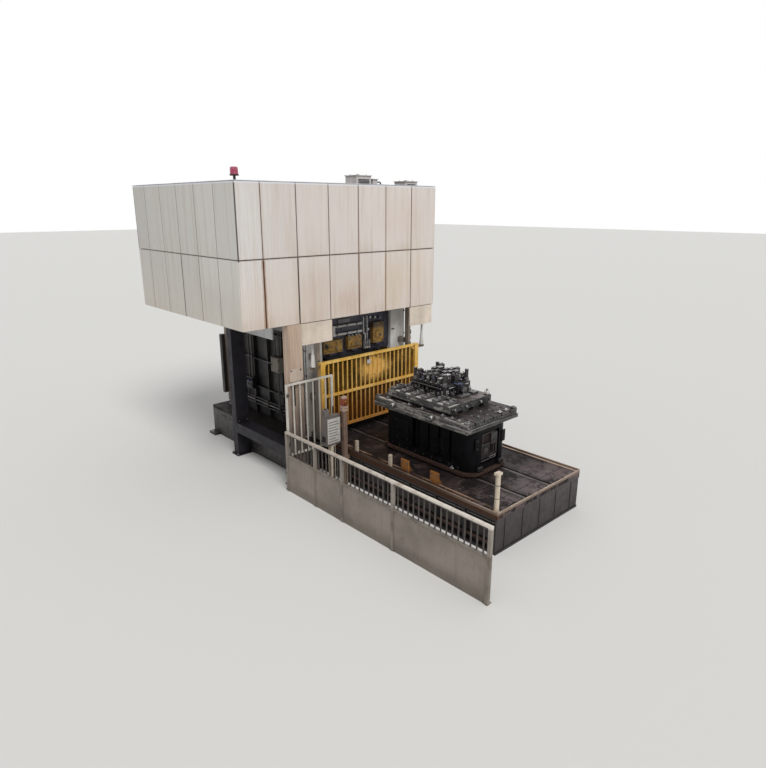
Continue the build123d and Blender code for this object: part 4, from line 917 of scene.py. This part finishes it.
def slide_details():
    """Screws, bores and pads on the clamp blocks, pipe clips, fittings and edge plates."""
    kit = Kit("dull", "hole", "slide", "bright", "block_yellow", "pipe")
    face, front = -1.800, -1.690    # of the clamp blocks and of the slide
    for x, width, z, height in ((-0.780, 0.550, 2.680, 0.285), (-0.120, 0.420, 2.695, 0.300),
                                (0.640, 0.340, 2.740, 0.500)):
        half = width / 2 - 0.045
        kit.socket(((x - half, x + half), face, (z + 0.045, z + height - 0.045)), FRONT, 0.042)
        kit.box(x - width * 0.28, x + width * 0.28, face - 0.026, face, z + height * 0.20, z + height * 0.56,
                4, 0.008)
        kit.rod((x + width * 0.12, face - 0.026, z + height * 0.38), (0, -0.029, 0), 0.026, 18)
        kit.box(x - width * 0.20, x + width * 0.20, face - 0.004, front, z - 0.05, z, 2, 0.004)
    kit.lathe((-0.985, face, 2.862), (0, -0.010, 0), ((0, 0.066), (0.8, 0.066), (1, 0.060)), 22, 4)
    kit.rod((-0.985, face - 0.0105, 2.862), (0, -0.0025, 0), 0.046, 22, 1)
    for x in (-1.02, -0.42, 0.28, 0.93):
        kit.box(x - 0.028, x + 0.028, front - 0.012, front, 2.62, 3.42, 2, 0.004)
        kit.bolt((x, front - 0.012, between(2.68, 3.36, 6)), FRONT)
    kit.box(-0.55, -0.20, front - 0.020, front, 3.33, 3.43, 0, 0.004)
    for x, z in product((-0.62, -0.32, -0.02), (3.080, 3.270)):
        kit.box(x - 0.015, x + 0.015, -1.773, front, z - 0.038, z + 0.038)
    for x, r in ((-0.26, 0.030), (-0.16, 0.024), (-0.04, 0.030), (0.04, 0.022)):
        kit.rod((x, -1.755, 2.995), (0, 0, 0.035), r, 14, 3)
    for x, z, r in ((0.36, 3.09, 0.030), (0.42, 3.38, 0.026), (0.58, 3.36, 0.030), (0.74, 3.34, 0.022)):
        kit.rod((x, front, z), (0, -0.06, 0), r, 14, 3)
    kit.box(0.17, 0.40, front - 0.09, front, 2.62, 2.84, 0, 0.006)
    kit.rod(((0.22, 0.28, 0.34), front - 0.09, 2.66), (0, -0.03, 0), 0.018, 12, 5)
    kit.rod(((0.22, 0.28, 0.34), front - 0.09, 2.78), (0, -0.02, 0), 0.020, 6, 3)
    kit.tube((0.25, -1.75, 2.84), "z", 3.00, "x", 0.20, "z", 3.42, r=0.014, mark=5)
    kit.tube((0.31, -1.75, 2.84), "z", 3.42, r=0.014, mark=3)
    kit.piece("slide_front_fittings", "slide")
    edge = Kit("slide", "dull", "bronze")
    for sx, sy in product(SIDES, SIDES):
        edge.box(sx * 1.060, sx * 1.066, sy * 1.42, sy * 1.64, 2.62, 3.42, 2, 0.001)
    edge.bolt((between(-0.8, 0.8, 9), 1.690, (2.64, 3.40)), REAR, 0.030, 1)
    for x in (-0.45, 0.45):
        edge.box(x - 0.30, x + 0.30, 1.690, 1.702, 2.78, 3.26, 0, 0.006)
        edge.bolt(((x - 0.26, x + 0.26), 1.702, (2.82, 3.22)), REAR, 0.022, 1)
    edge.piece("slide_edge_plates", "slide")


def gate_details():
    """Amber sheet behind the bars, a blank plate, corner gussets, wear pads and pins."""
    sheet = Kit("amber", "dull")
    x0, x1, z0, z1, back = -1.349, 1.509, 1.061, 2.569, -2.153
    columns, rows = 40, 20
    wide = columns + 1
    points = []
    for depth, j, i in product((0.002, 0.006), range(rows + 1), range(wide)):
        u, v = i / columns, j / rows
        swell = 0.004 * math.sin(math.pi * u) * math.sin(math.pi * v) * (1 + 0.4 * math.sin(9 * u + 4 * v))
        points.append((x0 + (x1 - x0) * u, back + depth + swell, z0 + (z1 - z0) * v))
    n = wide * (rows + 1)           # from a point of the front to the same point of the rear
    faces = []
    for j, i in product(range(rows), range(columns)):
        a = j * wide + i
        quad = (a, a + 1, a + wide + 1, a + wide)
        faces += [quad, tuple(n + k for k in quad[::-1])]
    rim = list(range(columns)) + [j * wide + columns for j in range(rows)]
    rim += [rows * wide + i for i in range(columns, 0, -1)] + [j * wide for j in range(rows, 0, -1)]
    faces += [(b, a, a + n, b + n) for a, b in zip(rim, rim[1:] + rim[:1])]
    sheet.add(points, faces)
    sheet.rod((between(x0 + 0.03, x1 - 0.03, 9), back + 0.005, (z0 + 0.03, z1 - 0.03)), (0, 0.007, 0), 0.012,
              10, 1)
    sheet.piece("gate_amber_sheet", "gate")
    kit = Kit("gate", "dull", "paper", "black")
    for sx in SIDES:
        x = GATE_MIDDLE + sx * 1.430
        for (z, way), i in product(((1.06, 1), (2.57, -1)), range(4)):
            kit.box(x, x - sx * (0.10 - 0.022 * i), -2.169, -2.161, z + way * 0.022 * i,
                    z + way * 0.022 * (i + 1), 0, 0.001)
        kit.rod((GATE_MIDDLE + sx * 1.720, -2.225, 2.54), (0, 0.12, 0), 0.020, 14, 1)
    kit.box(-0.085, 0.030, -2.206, -2.196, 2.375, 2.475, 2)
    kit.box(-0.045, -0.015, -2.200, -2.176, 2.465, 2.575, 3, 0.002)
    kit.piece("gate_gussets_and_plate", "gate")
    wear = Kit("black", "dull")
    for z in (1.03, 1.815, 2.60):
        wear.box(-1.455, -1.395, -2.105, -2.101, z - 0.05, z + 0.05, 0, 0.001)
        wear.box(1.395, 1.455, -2.135, -2.101, z - 0.028, z + 0.028, 1)
    wear.piece("gate_wear_pads", "gate")


def guide_details():
    """Bracket bolts on the gate guides, limit switches at the right one, stops at the foot."""
    kit = Kit("dull", "black", "paper", "guide", "pipe")
    brackets = [z + side * 0.03 for z in between(0.84, 3.64, 4) for side in SIDES]
    for side in SIDES:
        kit.bolt(((-1.36, 1.36), side * 1.965, brackets), (0, side, 0), 0.026)
        kit.box(side * 1.395, side * 1.455, -2.20, -2.095, 0.80, 0.985, 3, 0.006)
        kit.box(side * 1.395, side * 1.455, -2.20, -2.10, 0.985, 0.998, 1, 0.004)
    for z, mark in ((3.05, 2), (2.86, 1), (2.72, 2), (2.55, 1)):
        kit.box(1.460, 1.526, -2.06, -1.99, z, z + 0.11, mark, 0.004)
        kit.rod((1.526, -2.03, z + 0.03), (0.027, 0, 0), 0.012, 10, 1)
    kit.tube((1.49, -2.02, 3.16), "z", 4.10, r=0.010, mark=1, sides=8)
    kit.tube((1.51, -2.00, 2.55), "z", 0.82, r=0.010, mark=4, sides=8)
    kit.piece("gate_guide_bolts_and_switches", "press")


# Guarding and stations

def guarding_details():
    """Base plates, clamps and screws on the fence and the guard panel."""
    kit = Kit("white", "dull")
    x = FENCE_X
    for y in FENCE_POSTS:
        y0 = max(y - 0.07, -7.868)
        kit.box(x - 0.03, x + 0.09, y0, y + 0.07, 0, 0.012, 0, 0.002)
        kit.bolt((x + 0.06, (y + 0.045, y0 + 0.025), 0.012), UP, 0.020, 1)
        for z in (0.30, 0.62, 0.825, 1.34):
            kit.box(x + 0.030, x + 0.036, y - 0.026, y + 0.026, z - 0.018, z + 0.018, 1, 0.002)
            kit.bolt((x + 0.036, y, z), (1, 0, 0), 0.014, 1, False)
    kit.piece("fence_feet_and_clamps", "press")
    screws = Kit("dull", "sheet")
    for a, b in zip(FENCE_POSTS, FENCE_POSTS[1:]):
        row = between(a - 0.07, b + 0.07, max(3, round((a - b) / 0.45)))
        for sx in SIDES:
            screws.lathe((x + sx * 0.015, row, (0.035, 0.785)), (sx * 0.004, 0, 0),
                         ((0, 0.010), (0.6, 0.008), (1, 0.004)), 8)
        for z in (0.27, 0.54):
            screws.box(x + 0.0145, x + 0.019, b + 0.035, a - 0.035, z - 0.004, z + 0.004, 1, 0.001)
    screws.piece("fence_sheet_screws", "press")
    guard = Kit("white", "dull", "black")
    for z in (1.05, 2.15):
        guard.rod((-2.510, -2.44, z - 0.05), (0, 0, 0.10), 0.010, 10, 1)
        guard.box(-2.545, -2.475, -2.440, -2.434, z - 0.03, z + 0.03, 1, 0.001)
    guard.box(-1.346, -1.314, -2.440, -2.434, 1.48, 1.66, 2, 0.002)
    guard.box(-2.60, -2.45, -2.4345, -2.335, 0, 0.012, 0, 0.002)
    guard.bolt(((-2.588, -2.462), -2.36, 0.012), UP, 0.016, 1)
    guard.piece("guard_panel_hinges_and_foot", "press")


def station_details():
    """Control box door with a plain ruled sheet, lamp and glands; signal unit in two parts."""
    left, right, front, foot, top = -1.940, -1.540, -2.970, 1.000, 1.650
    kit = Kit("box_side", "paper", "ink", "black", "dull")
    kit.box(left + 0.012, right - 0.012, front - 0.014, front, foot + 0.012, top - 0.012, 0, 0.004)
    kit.box(left + 0.035, right - 0.030, front - 0.020, front - 0.013, foot + 0.05, top - 0.04, 1, 0.002)
    for i, width in enumerate((0.24, 0.27, 0.20, 0.26, 0.23, 0.27, 0.18, 0.25)):
        z = top - 0.11 - 0.062 * i
        kit.box(left + 0.06, left + 0.06 + width, front - 0.0215, front - 0.0195, z - 0.018, z, 2, 0.0005)
    kit.rod((right - 0.004, front - 0.016, (foot + 0.07, top - 0.13)), (0, 0, 0.06), 0.009, 10, 4)
    kit.box(left - 0.012, left + 0.002, -2.95, -2.85, 1.10, 1.22, 3, 0.004)
    kit.rod(((left + 0.08, left + 0.18, left + 0.28), -2.9, foot), (0, 0, -0.035), 0.014, 10, 3)
    kit.rod((-1.89, -2.90, 1.820), (0, 0, 0.018), 0.024, 16, 3)
    kit.box(-1.950, -1.944, -2.93, -2.87, 1.69, 1.78, 4, 0.002)
    kit.piece("control_box_door", "press")
    pole = Kit("cream", "dull", "black")
    pole.bolt(((-1.84, -1.64), (-3.00, -2.80), 0.020), UP, 0.024, 1)
    for x in (-1.802, -1.678):
        pole.box(x - 0.006, x + 0.006, -2.95, -2.85, 0.020, 0.10)
    pole.box(-1.84, -1.64, -2.965, -2.835, 0.985, foot)
    pole.tube((-1.72, -2.965, 0.05), "z", 0.96, r=0.012, mark=2)
    pole.piece("control_pole_foot", "press")
    low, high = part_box("signal_unit")
    unit = Kit("red_box", "signal_pale", "black", "stop", "dull")
    middle = low.z + 0.40 * (high.z - low.z)
    # the last box, a pale cap on top of the red part: painted highlight
    for inset, z0, z1, mark, edge in (
            (0, low.z, middle, 1, 0.008), (0, middle + 0.006, high.z - 0.05, 0, 0.010),
            (0.012, middle - 0.002, middle + 0.010, 2, 0.001), (0.01, high.z - 0.050, high.z, 1, 0.010)):
        unit.box(low.x + inset, high.x - inset, low.y + inset, high.y - inset, z0, z1, mark, edge)
    for z in (low.z + 0.06, low.z + 0.13):
        unit.box(low.x + 0.02, high.x - 0.02, low.y - 0.0005, low.y + 0.004, z, z + 0.012, 2, 0.001)
    cx, lens_z = (low.x + high.x) / 2, high.z - 0.11
    unit.lathe((cx, low.y + 0.004, lens_z), (0, -0.008, 0), ((0, 0.045), (0.7, 0.045), (1, 0.038)), 20, 2)
    unit.lathe((cx, low.y - 0.003, lens_z), (0, -0.009, 0), ((0, 0.036), (0.5, 0.030), (1, 0.010)), 20, 3)
    unit.rod((low.x, (low.y + high.y) / 2, low.z + 0.08), (-0.008, 0, 0), 0.012, 10, 4)
    shown = unit.piece("signal_unit_dressed", "press")
    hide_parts("signal_unit")


# Track and carriage

def track_details():
    """Deck screws, rail clips, end stops, and pipes and ribs along the track's sides."""
    kit = Kit("dull", "black")
    lanes = (-1.22, -0.85, -0.52, -0.28, 0.0, 0.28, 0.52, 0.85, 1.22)
    kit.lathe((lanes, between(-6.95, -2.15, 9), 0.7795), (0, 0, 0.0045),
              ((0, 0.016), (0.6, 0.015), (1, 0.010)), 8)
    for rail, side, y in product((-0.40, 0.40), SIDES, between(-6.9, 1.8, 22)):
        kit.box(rail + side * 0.031, rail + side * 0.052, y - 0.04, y + 0.04, 0.700, 0.728, 1)
        kit.rod((rail + side * 0.042, y, 0.728), (0, 0, 0.014), 0.009, 6)
    kit.piece("track_screws_and_clips", "press")
    flank = Kit("track_frame", "dull", "black", "rim")
    ribs = between(-7.050, -2.025, 8)
    for sx, (y0, y1) in product(SIDES, zip(ribs, ribs[1:])):
        for z, r, mark in ((0.60, 0.026, 1), (0.52, 0.020, 2), (0.16, 0.030, 3)):
            flank.rod((sx * (1.286 + r), y0 + 0.014, z), (0, y1 - y0 - 0.028, 0), r, 10, mark)
        flank.box(sx * 1.279, sx * 1.286, y0 + 0.10, y1 - 0.10, 0.235, 0.435, 0, 0.004)
        flank.bolt((sx * 1.286, (y0 + 0.13, y1 - 0.13), (0.26, 0.41)), (sx, 0, 0), 0.018, 1)
    for x in between(-1.1, 1.1, 5):
        flank.box(x - 0.012, x + 0.012, -7.075, -6.995, 0.045, 0.655, 0, 0.002)
    flank.box(-0.34, 0.34, -7.000, -6.990, 0.20, 0.52, 0, 0.006)
    flank.bolt(((-0.30, 0.30), -7.000, (0.24, 0.48)), FRONT, 0.024, 1)
    flank.piece("track_side_pipes_and_covers", "press")
    posts = Kit("cream", "dull")
    x, y = -1.265, -6.975
    posts.lathe((x, y, 0.780), (0, 0, 0.020), ((0, 0.075), (0.6, 0.075), (1, 0.068)), 20)
    for i in range(4):
        posts.bolt((*around(x, y, 0.060, 0.125 + i / 4), 0.797), UP, 0.014, 1, False)
    for z in (1.05, 1.30):
        posts.ring(x, y, z, z + 0.012, 0.0445, 0.0475, 1, 24)
    posts.piece("buffer_post_foot", "press")
    stops = Kit("dull", "black")
    for y in (-4.720, -5.525):
        stops.bolt((-1.310, (y - 0.075, y + 0.075), (0.86, 1.02)), (-1, 0, 0), 0.022)
        for side in SIDES:
            stops.box(-1.286, -1.272, y + side * 0.03, y + side * 0.10, 0.90, 1.06, 1, 0.004)
    stops.piece("carriage_stop_pads", "press")


def table_details():
    """Pin ends, clamps, bright lip strips as a painted highlight, and T-slot nuts on the bolster table."""
    kit = Kit("bright", "hole", "dull", "pipe")
    pin_ends = (-3.860, -4.970)
    for y, sx in product(pin_ends, SIDES):
        kit.lathe((sx * 0.860, y, 1.918), (sx * 0.008, 0, 0), ((0, 0.0441), (0.7, 0.0414), (1, 0.0378)), 20)
        kit.rod((sx * 0.8685, y, 1.918), (sx * 0.0025, 0, 0), 0.0225, 16, 1)
        kit.box(sx * 0.790, sx * 0.802, y - 0.075, y + 0.075, 1.868, 1.968, 2, 0.004)
    for x, y in product((-0.735, 0.735), (-5.815, -3.325)):
        kit.box(x - 0.050, x + 0.050, y - 0.050, y + 0.050, TABLE_TOP, 2.012, 2, 0.006)
        kit.rod((x, y, 2.0125), (0, 0, 0.0025), 0.030, 18, 1)
        kit.ring(x, y, 2.012, 2.022, 0.030, 0.042, 0, 20)
    for x, y in ((-0.72, -3.60), (-0.73, -4.25), (-0.72, -4.62), (-0.725, -5.18), (-0.72, -5.42),
                 (-0.735, -5.62)):
        kit.box(x - 0.040, x + 0.040, y - 0.055, y + 0.055, TABLE_TOP, 2.010, 2, 0.005)
        kit.bolt((x, y, 2.010), UP, 0.034)
    for x in (0.50, 0.30):
        kit.box(x - 0.045, x + 0.045, -5.84, -5.76, TABLE_TOP, 2.008, 0, 0.008)
        kit.bolt((x, -5.80, 2.008), UP, 0.030, 3)
    kit.piece("table_pin_ends_and_clamps", "press")
    lip = Kit("bright", "dull")
    # painted highlight: bright strips along the table's lower left edge and front
    for y0, y1, top in ((-5.888, -5.35, 1.886), (-5.33, -4.90, 1.880), (-4.60, -3.95, 1.872)):
        lip.box(-0.812, -0.792, y0, y1, 1.865, top, 0, 0.002)
    lip.box(-0.70, 0.20, -5.889, -5.869, 1.865, 1.871, 0, 0.002)
    for y, way in ((-5.868, FRONT), (-3.272, REAR)):
        lip.bolt(((-0.70, -0.42, -0.14, 0.14, 0.42, 0.70), y, 1.925), way, 0.026, 1)
    free = [y for y in between(-5.70, -3.45, 10) if min(abs(y - pin) for pin in pin_ends) > 0.10]
    for sx in SIDES:
        lip.bolt((sx * 0.790, free, 1.918), (sx, 0, 0), 0.024, 1)
    lip.piece("table_edge_highlight_strips", "press")
    t_nuts = Kit("dull", "bright")
    for x, y in product((-0.56, -0.28, 0.0, 0.28, 0.56), (-5.72, -5.55, -3.40)):
        t_nuts.box(x - 0.017, x + 0.017, y - 0.03, y + 0.03, 1.958, 1.986, 0, 0.002)
        if (round(x * 100) + round(y * 100)) % 3 == 0:
            t_nuts.rod((x, y, 1.986), (0, 0, 0.044), 0.012, 10, 1)
            t_nuts.lathe((x, y, 1.988), (0, 0, 0.020), ((0, 0.022), (1, 0.022)), 6, 1)
    t_nuts.piece("t_slot_nuts", "press")


def carriage_details():
    """Ribs, plates, pipes, brackets and wheel guards on the carriage's sides and ends."""
    body = Kit("body", "black")
    for sx in SIDES:
        face, out = sx * 0.525, (sx, 0, 0)
        for y in between(-5.22, -4.33, 4):
            body.box(face, face + sx * 0.035, y - 0.012, y + 0.012, 1.03, 1.655)
        body.box(face, face + sx * 0.012, -5.08, -4.82, 1.18, 1.44, 0, 0.006)
        body.bolt((face + sx * 0.012, (-5.05, -4.85), (1.21, 1.41)), out, 0.020, 1)
        body.bolt((sx * 0.585, between(-5.50, -3.60, 9), (1.740, 0.945)), out, 0.026, 1)
        body.box(sx * 0.585, sx * 0.600, -4.12, -3.72, 1.10, 1.58, 0, 0.008)
        body.bolt((sx * 0.600, (-4.08, -3.76), (1.14, 1.34, 1.54)), out, 0.020, 1)
    body.piece("carriage_side_plates", "press")
    front = Kit("cavity", "shadow", "black", "body", "dull")
    y = -5.763                      # the recess's rear wall
    # the rear wall in the cavity finish: painted shade in the recess
    front.box(-0.285, 0.285, y - 0.004, y + 0.002, 1.012, 1.673, 0, 0.002)
    front.box(-0.25, 0.02, y - 0.050, y, 1.10, 1.42, 2, 0.010)
    front.rod((-0.115, y - 0.050, 1.26), (0, -0.008, 0), 0.075, 24, 1)
    for i in range(6):
        x, z = around(-0.115, 1.26, 0.10, i / 6)
        front.bolt((x, y - 0.050, z), FRONT, 0.018, 1, False)
    front.box(0.06, 0.26, y - 0.045, y, 1.36, 1.60, 1, 0.008)
    for i, mark in enumerate((0, 1, 4)):
        x = 0.09 + 0.07 * i
        front.rod((x, y - 0.045, 1.44), (0, -0.014, 0), 0.020, 6, 1)
        front.tube((x, y - 0.03, 1.36), "z", 1.20 - 0.05 * i, "x", 0.02, r=0.012, mark=mark, bend=0.03)
    front.tube((-0.20, y - 0.02, 1.42), "z", 1.62, "x", 0.06, "x", 0.16, "z", 1.60,
               r=0.014, mark=1, bend=0.04)
    front.tube((0.235, y - 0.035, 1.36), "z", 1.06, "x", -0.24, r=0.016, mark=1, bend=0.05)
    for x in (-0.42, 0.42):
        front.box(x - 0.06, x + 0.06, -5.838, -5.820, 1.35, 1.60, 3, 0.006)
        front.bolt((x, -5.838, (1.39, 1.56)), FRONT, 0.024, 1)
    for x in (-0.33, 0.33):
        front.box(x - 0.07, x + 0.07, -5.886, -5.820, 0.90, 1.00, 2, 0.012)
    front.piece("carriage_front_pipes", "press")
    rear = Kit("rim", "dull", "black", "body")
    y = -3.377
    rear.box(-0.285, 0.285, y - 0.002, y + 0.004, 1.012, 1.673, 0, 0.002)
    rear.box(-0.22, 0.22, y, y + 0.022, 1.10, 1.55, 3, 0.010)
    rear.bolt(((-0.18, 0.18), y + 0.022, (1.14, 1.33, 1.51)), REAR, 0.022, 1)
    for x in (-0.33, 0.33):
        rear.box(x - 0.07, x + 0.07, -3.320, -3.256, 0.90, 1.00, 2, 0.012)
    rear.piece("carriage_rear_cover", "press")
    rim = Kit("black", "bright")
    rim.bolt(((-0.618, 0.618), between(-5.45, -3.70, 8), 0.890), UP, 0.020)
    rim.box(-0.64, -0.60, -5.42, -5.33, 0.890, 0.925, 1, 0.008)
    rim.rod((-0.62, -5.375, 0.925), (0, 0, 0.030), 0.018, 12, 1)
    rim.piece("carriage_rim_bolts", "press")


# Die

def shoe_details():
    """Clamp bolts, bare strips, lugs and screws on the die's shoe."""
    low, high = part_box("die_shoe")
    top = high.z
    kit = Kit("dull", "bright", "black", "pipe", "shoe", "bare")
    clamps = between(low.y + 0.12, high.y - 0.12, 6)
    for y in clamps:
        kit.rod((-0.50, y, top + 0.060), (0, 0, 0.090), 0.017, 12, 2)
        kit.lathe((-0.50, y, top + 0.060), (0, 0, 0.008), ((0, 0.038), (1, 0.036)), 16, 1)
        kit.lathe((-0.50, y, top + 0.068), (0, 0, 0.032), ((0, 0.030), (0.85, 0.030), (1, 0.026)), 6, 1)
        kit.box(-0.40, -0.355, y - 0.05, y + 0.05, top, top + 0.085, 4, 0.005)
        kit.box(-0.652, -0.60, y - 0.062, y + 0.062, top + 0.045, top + 0.064, 1, 0.006)
    for y0, y1, trim in zip(clamps, clamps[1:], (0.02, 0.10, 0.00, 0.05, 0.03)):
        kit.box(-0.648, -0.585, y0 + 0.080 + trim, y1 - 0.080, top, top + 0.010, 5)
        kit.box(-0.575, -0.545, y0 + 0.110, y1 - 0.085 - trim, top, top + 0.016, 1)
    for y in (low.y + 0.07, high.y - 0.07):
        kit.box(0.55, 0.65, y - 0.045, y + 0.045, top, top + 0.070, 3, 0.010)
        kit.rod((0.60, y, top + 0.070), (0, 0, 0.050), 0.022, 14, 1)
    for y, way in ((low.y, FRONT), (high.y, REAR)):
        kit.socket((between(-0.58, 0.58, 5), y, top - 0.07), way, 0.050, 0, 2)
    for sx in SIDES:
        kit.socket((sx * 0.655, between(low.y + 0.15, high.y - 0.15, 4), top - 0.07), (sx, 0, 0), 0.046, 0, 2)
    kit.rod(((-0.16, -0.52, 0.30), low.y - 0.004, top - 0.085), (0, -0.036, 0), 0.028, 16, 1)
    for x, y, w, d in ((-0.30, -4.95, 0.10, 0.26), (0.10, -5.02, 0.30, 0.12), (0.45, -4.98, 0.18, 0.16),
                       (-0.31, -3.72, 0.08, 0.20)):
        kit.box(x - w / 2, x + w / 2, y - d / 2, y + d / 2, top, top + 0.045, 0, 0.006)
        kit.bolt((x, y, top + 0.045), UP, 0.026, 1)
    kit.piece("shoe_clamp_bolts", "press")


def die_sides():
    """Blocks, valves and pipes round the sides of the lower die."""
    low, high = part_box("lower_die")
    x0, x1, y0, y1, foot = low.x, high.x, low.y, high.y, low.z
    middle = (x0 + x1) / 2
    walls = Kit("die", "dull", "black", "bright", "pipe", "blue")
    for y, (face, way) in product(between(y0 + 0.06, y1 - 0.06, 9), ((x0, -1), (x1, 1))):
        end = face + way * DICE.uniform(0.010, 0.055)
        z0 = foot + DICE.uniform(0.01, 0.05)
        z1 = z0 + DICE.uniform(0.06, 0.12)
        w = DICE.uniform(0.025, 0.045)
        walls.box(face, end, y - w, y + w, z0, z1, DICE.choice((0, 1, 1, 2, 3)), 0.004)
        walls.socket((end, y, (z0 + z1) / 2), (way, 0, 0), 0.030, 3, 2)
    for x, (face, way) in product(between(x0 + 0.07, x1 - 0.07, 8), ((y0, -1), (y1, 1))):
        if abs(x - middle) < 0.13:
            continue
        end = face + way * DICE.uniform(0.015, 0.085)
        z0 = foot + DICE.uniform(0.0, 0.04)
        z1 = z0 + DICE.uniform(0.07, 0.14)
        w = DICE.uniform(0.022, 0.040)
        walls.box(x - w, x + w, face, end, z0, z1, DICE.choice((0, 1, 2, 3)), 0.004)
        walls.rod((x, end, (z0 + z1) / 2), (0, way * 0.03, 0), 0.014, 10, 3)
    for i, mark in enumerate((4, 3, 5, 1)):
        place = (x0 - 0.012 - 0.024 * i, y0 + 0.10, foot + 0.155 + 0.010 * i)
        walls.tube(place, "y", y1 - 0.10, r=0.009, mark=mark, sides=8)
    z = foot + 0.110                # the end cylinders' axis
    for y, way in ((y0, -1), (y1, 1)):
        walls.tube((x0 + 0.10, y + way * 0.030, z + 0.06), "x", x1 - 0.10, r=0.011, mark=3, sides=8)
        walls.rod((middle, y + way * 0.190, z), (0, way * 0.007, 0), 0.060, 22, 1)
        for i in range(8):
            u, v = around(middle, z, 0.068, i / 8)
            walls.rod((u, y + way * 0.188, v), (0, way * 0.011, 0), 0.007, 8, 3)
        walls.tube((middle - 0.04, y + way * 0.13, z + 0.07), "z", z + 0.15, "x", middle - 0.16,
                   "y", y + way * 0.03, r=0.010, mark=5, sides=8)
    walls.piece("die_side_fittings", "press")


def die_top():
    """The dense cluster of blocks, screws, pins, pipes and pillar collars on the lower die."""
    low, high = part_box("lower_die")
    x0, x1, y0, y1, top = low.x, high.x, low.y, high.y, high.z
    middle = (x0 + x1) / 2
    inner, outer = 0.130, (x1 - x0) / 2 - 0.075
    caps = Kit("bright", "dull", "black", "pipe", "blue", "hole")
    rows = between(y0 + 0.180, y1 - 0.180, 5)
    for (column, off), (row, y) in product(enumerate((-outer, -inner, inner, outer)), enumerate(rows)):
        x, z = middle + off, top + 0.150 + 0.040 * ((2 * row + column) % 3)
        caps.box(x - 0.060, x + 0.060, y - 0.043, y + 0.043, z, z + 0.014, DICE.choice((0, 0, 1, 3)), 0.004)
        for dx in (-0.036, 0.036):
            caps.socket((x + dx, y + DICE.uniform(-0.012, 0.012), z + 0.014), UP, 0.030, 0, 5)
        u, v = x - 0.065, y - 0.0475
        caps.box(u - 0.012, u, y - 0.030, y + 0.030, z - 0.10, z - 0.02, DICE.choice((1, 2, 0)))
        caps.rod((u - 0.012, y, z - 0.060), (-0.018, 0, 0), 0.016, 12, DICE.choice((0, 3, 4)))
        caps.rod((x - 0.03, v, z - 0.055), (0, -0.016, 0), 0.013, 12)
        caps.rod((x + 0.03, v, z - 0.075), (0, -0.016, 0), 0.013, 12, 1)
    for off in (-inner - 0.115, inner + 0.115, -outer - 0.05, outer + 0.05):
        x = middle + off
        caps.tube((x, y0 + 0.10, top + 0.030), "y", y1 - 0.10, r=0.010, mark=3, sides=8)
        caps.tube((x + 0.022, y0 + 0.12, top + 0.052), "y", y1 - 0.12, r=0.008, mark=4, sides=8)
        for y in rows:
            caps.tube((x, y + 0.06, top + 0.03), "z", top + 0.075 + DICE.uniform(0, 0.05),
                      "xz", (x + (0.05 if off < 0 else -0.05), top + 0.12), r=0.008, sides=8, bend=0.02)
    for x, y in product((x0 + 0.060, x1 - 0.060), (y0 + 0.060, y1 - 0.060)):
        caps.ring(x, y, top, top + 0.060, 0.0405, 0.056, 1, 20)
        caps.ring(x, y, top + 0.060, top + 0.075, 0.0405, 0.050, 0, 20)
        caps.lathe((x, y, top + 0.2600), (0, 0, 0.0015), ((0, 0.034), (1, 0.032)), 18)
    for y, off in product(between(y0 + 0.255, y1 - 0.255, 4), (-outer, outer, -inner, inner)):
        x = middle + off + DICE.uniform(-0.03, 0.03)
        height = DICE.uniform(0.05, 0.13)
        r = DICE.uniform(0.014, 0.022)
        caps.rod((x, y, top), (0, 0, height), r, 14, DICE.choice((1, 2)))
        caps.rod((x, y, top + height), (0, 0, 0.030), r * 0.6, 12)
    caps.piece("die_top_cluster", "press")


make_materials()
camera()
studio()
dress_nodes()
for details in (beacon, roof_details, bed_details, column_details, side_details, post_details,
                slide_details, gate_details, guide_details, guarding_details, station_details,
                track_details, table_details, carriage_details, shoe_details, die_sides, die_top):
    details()
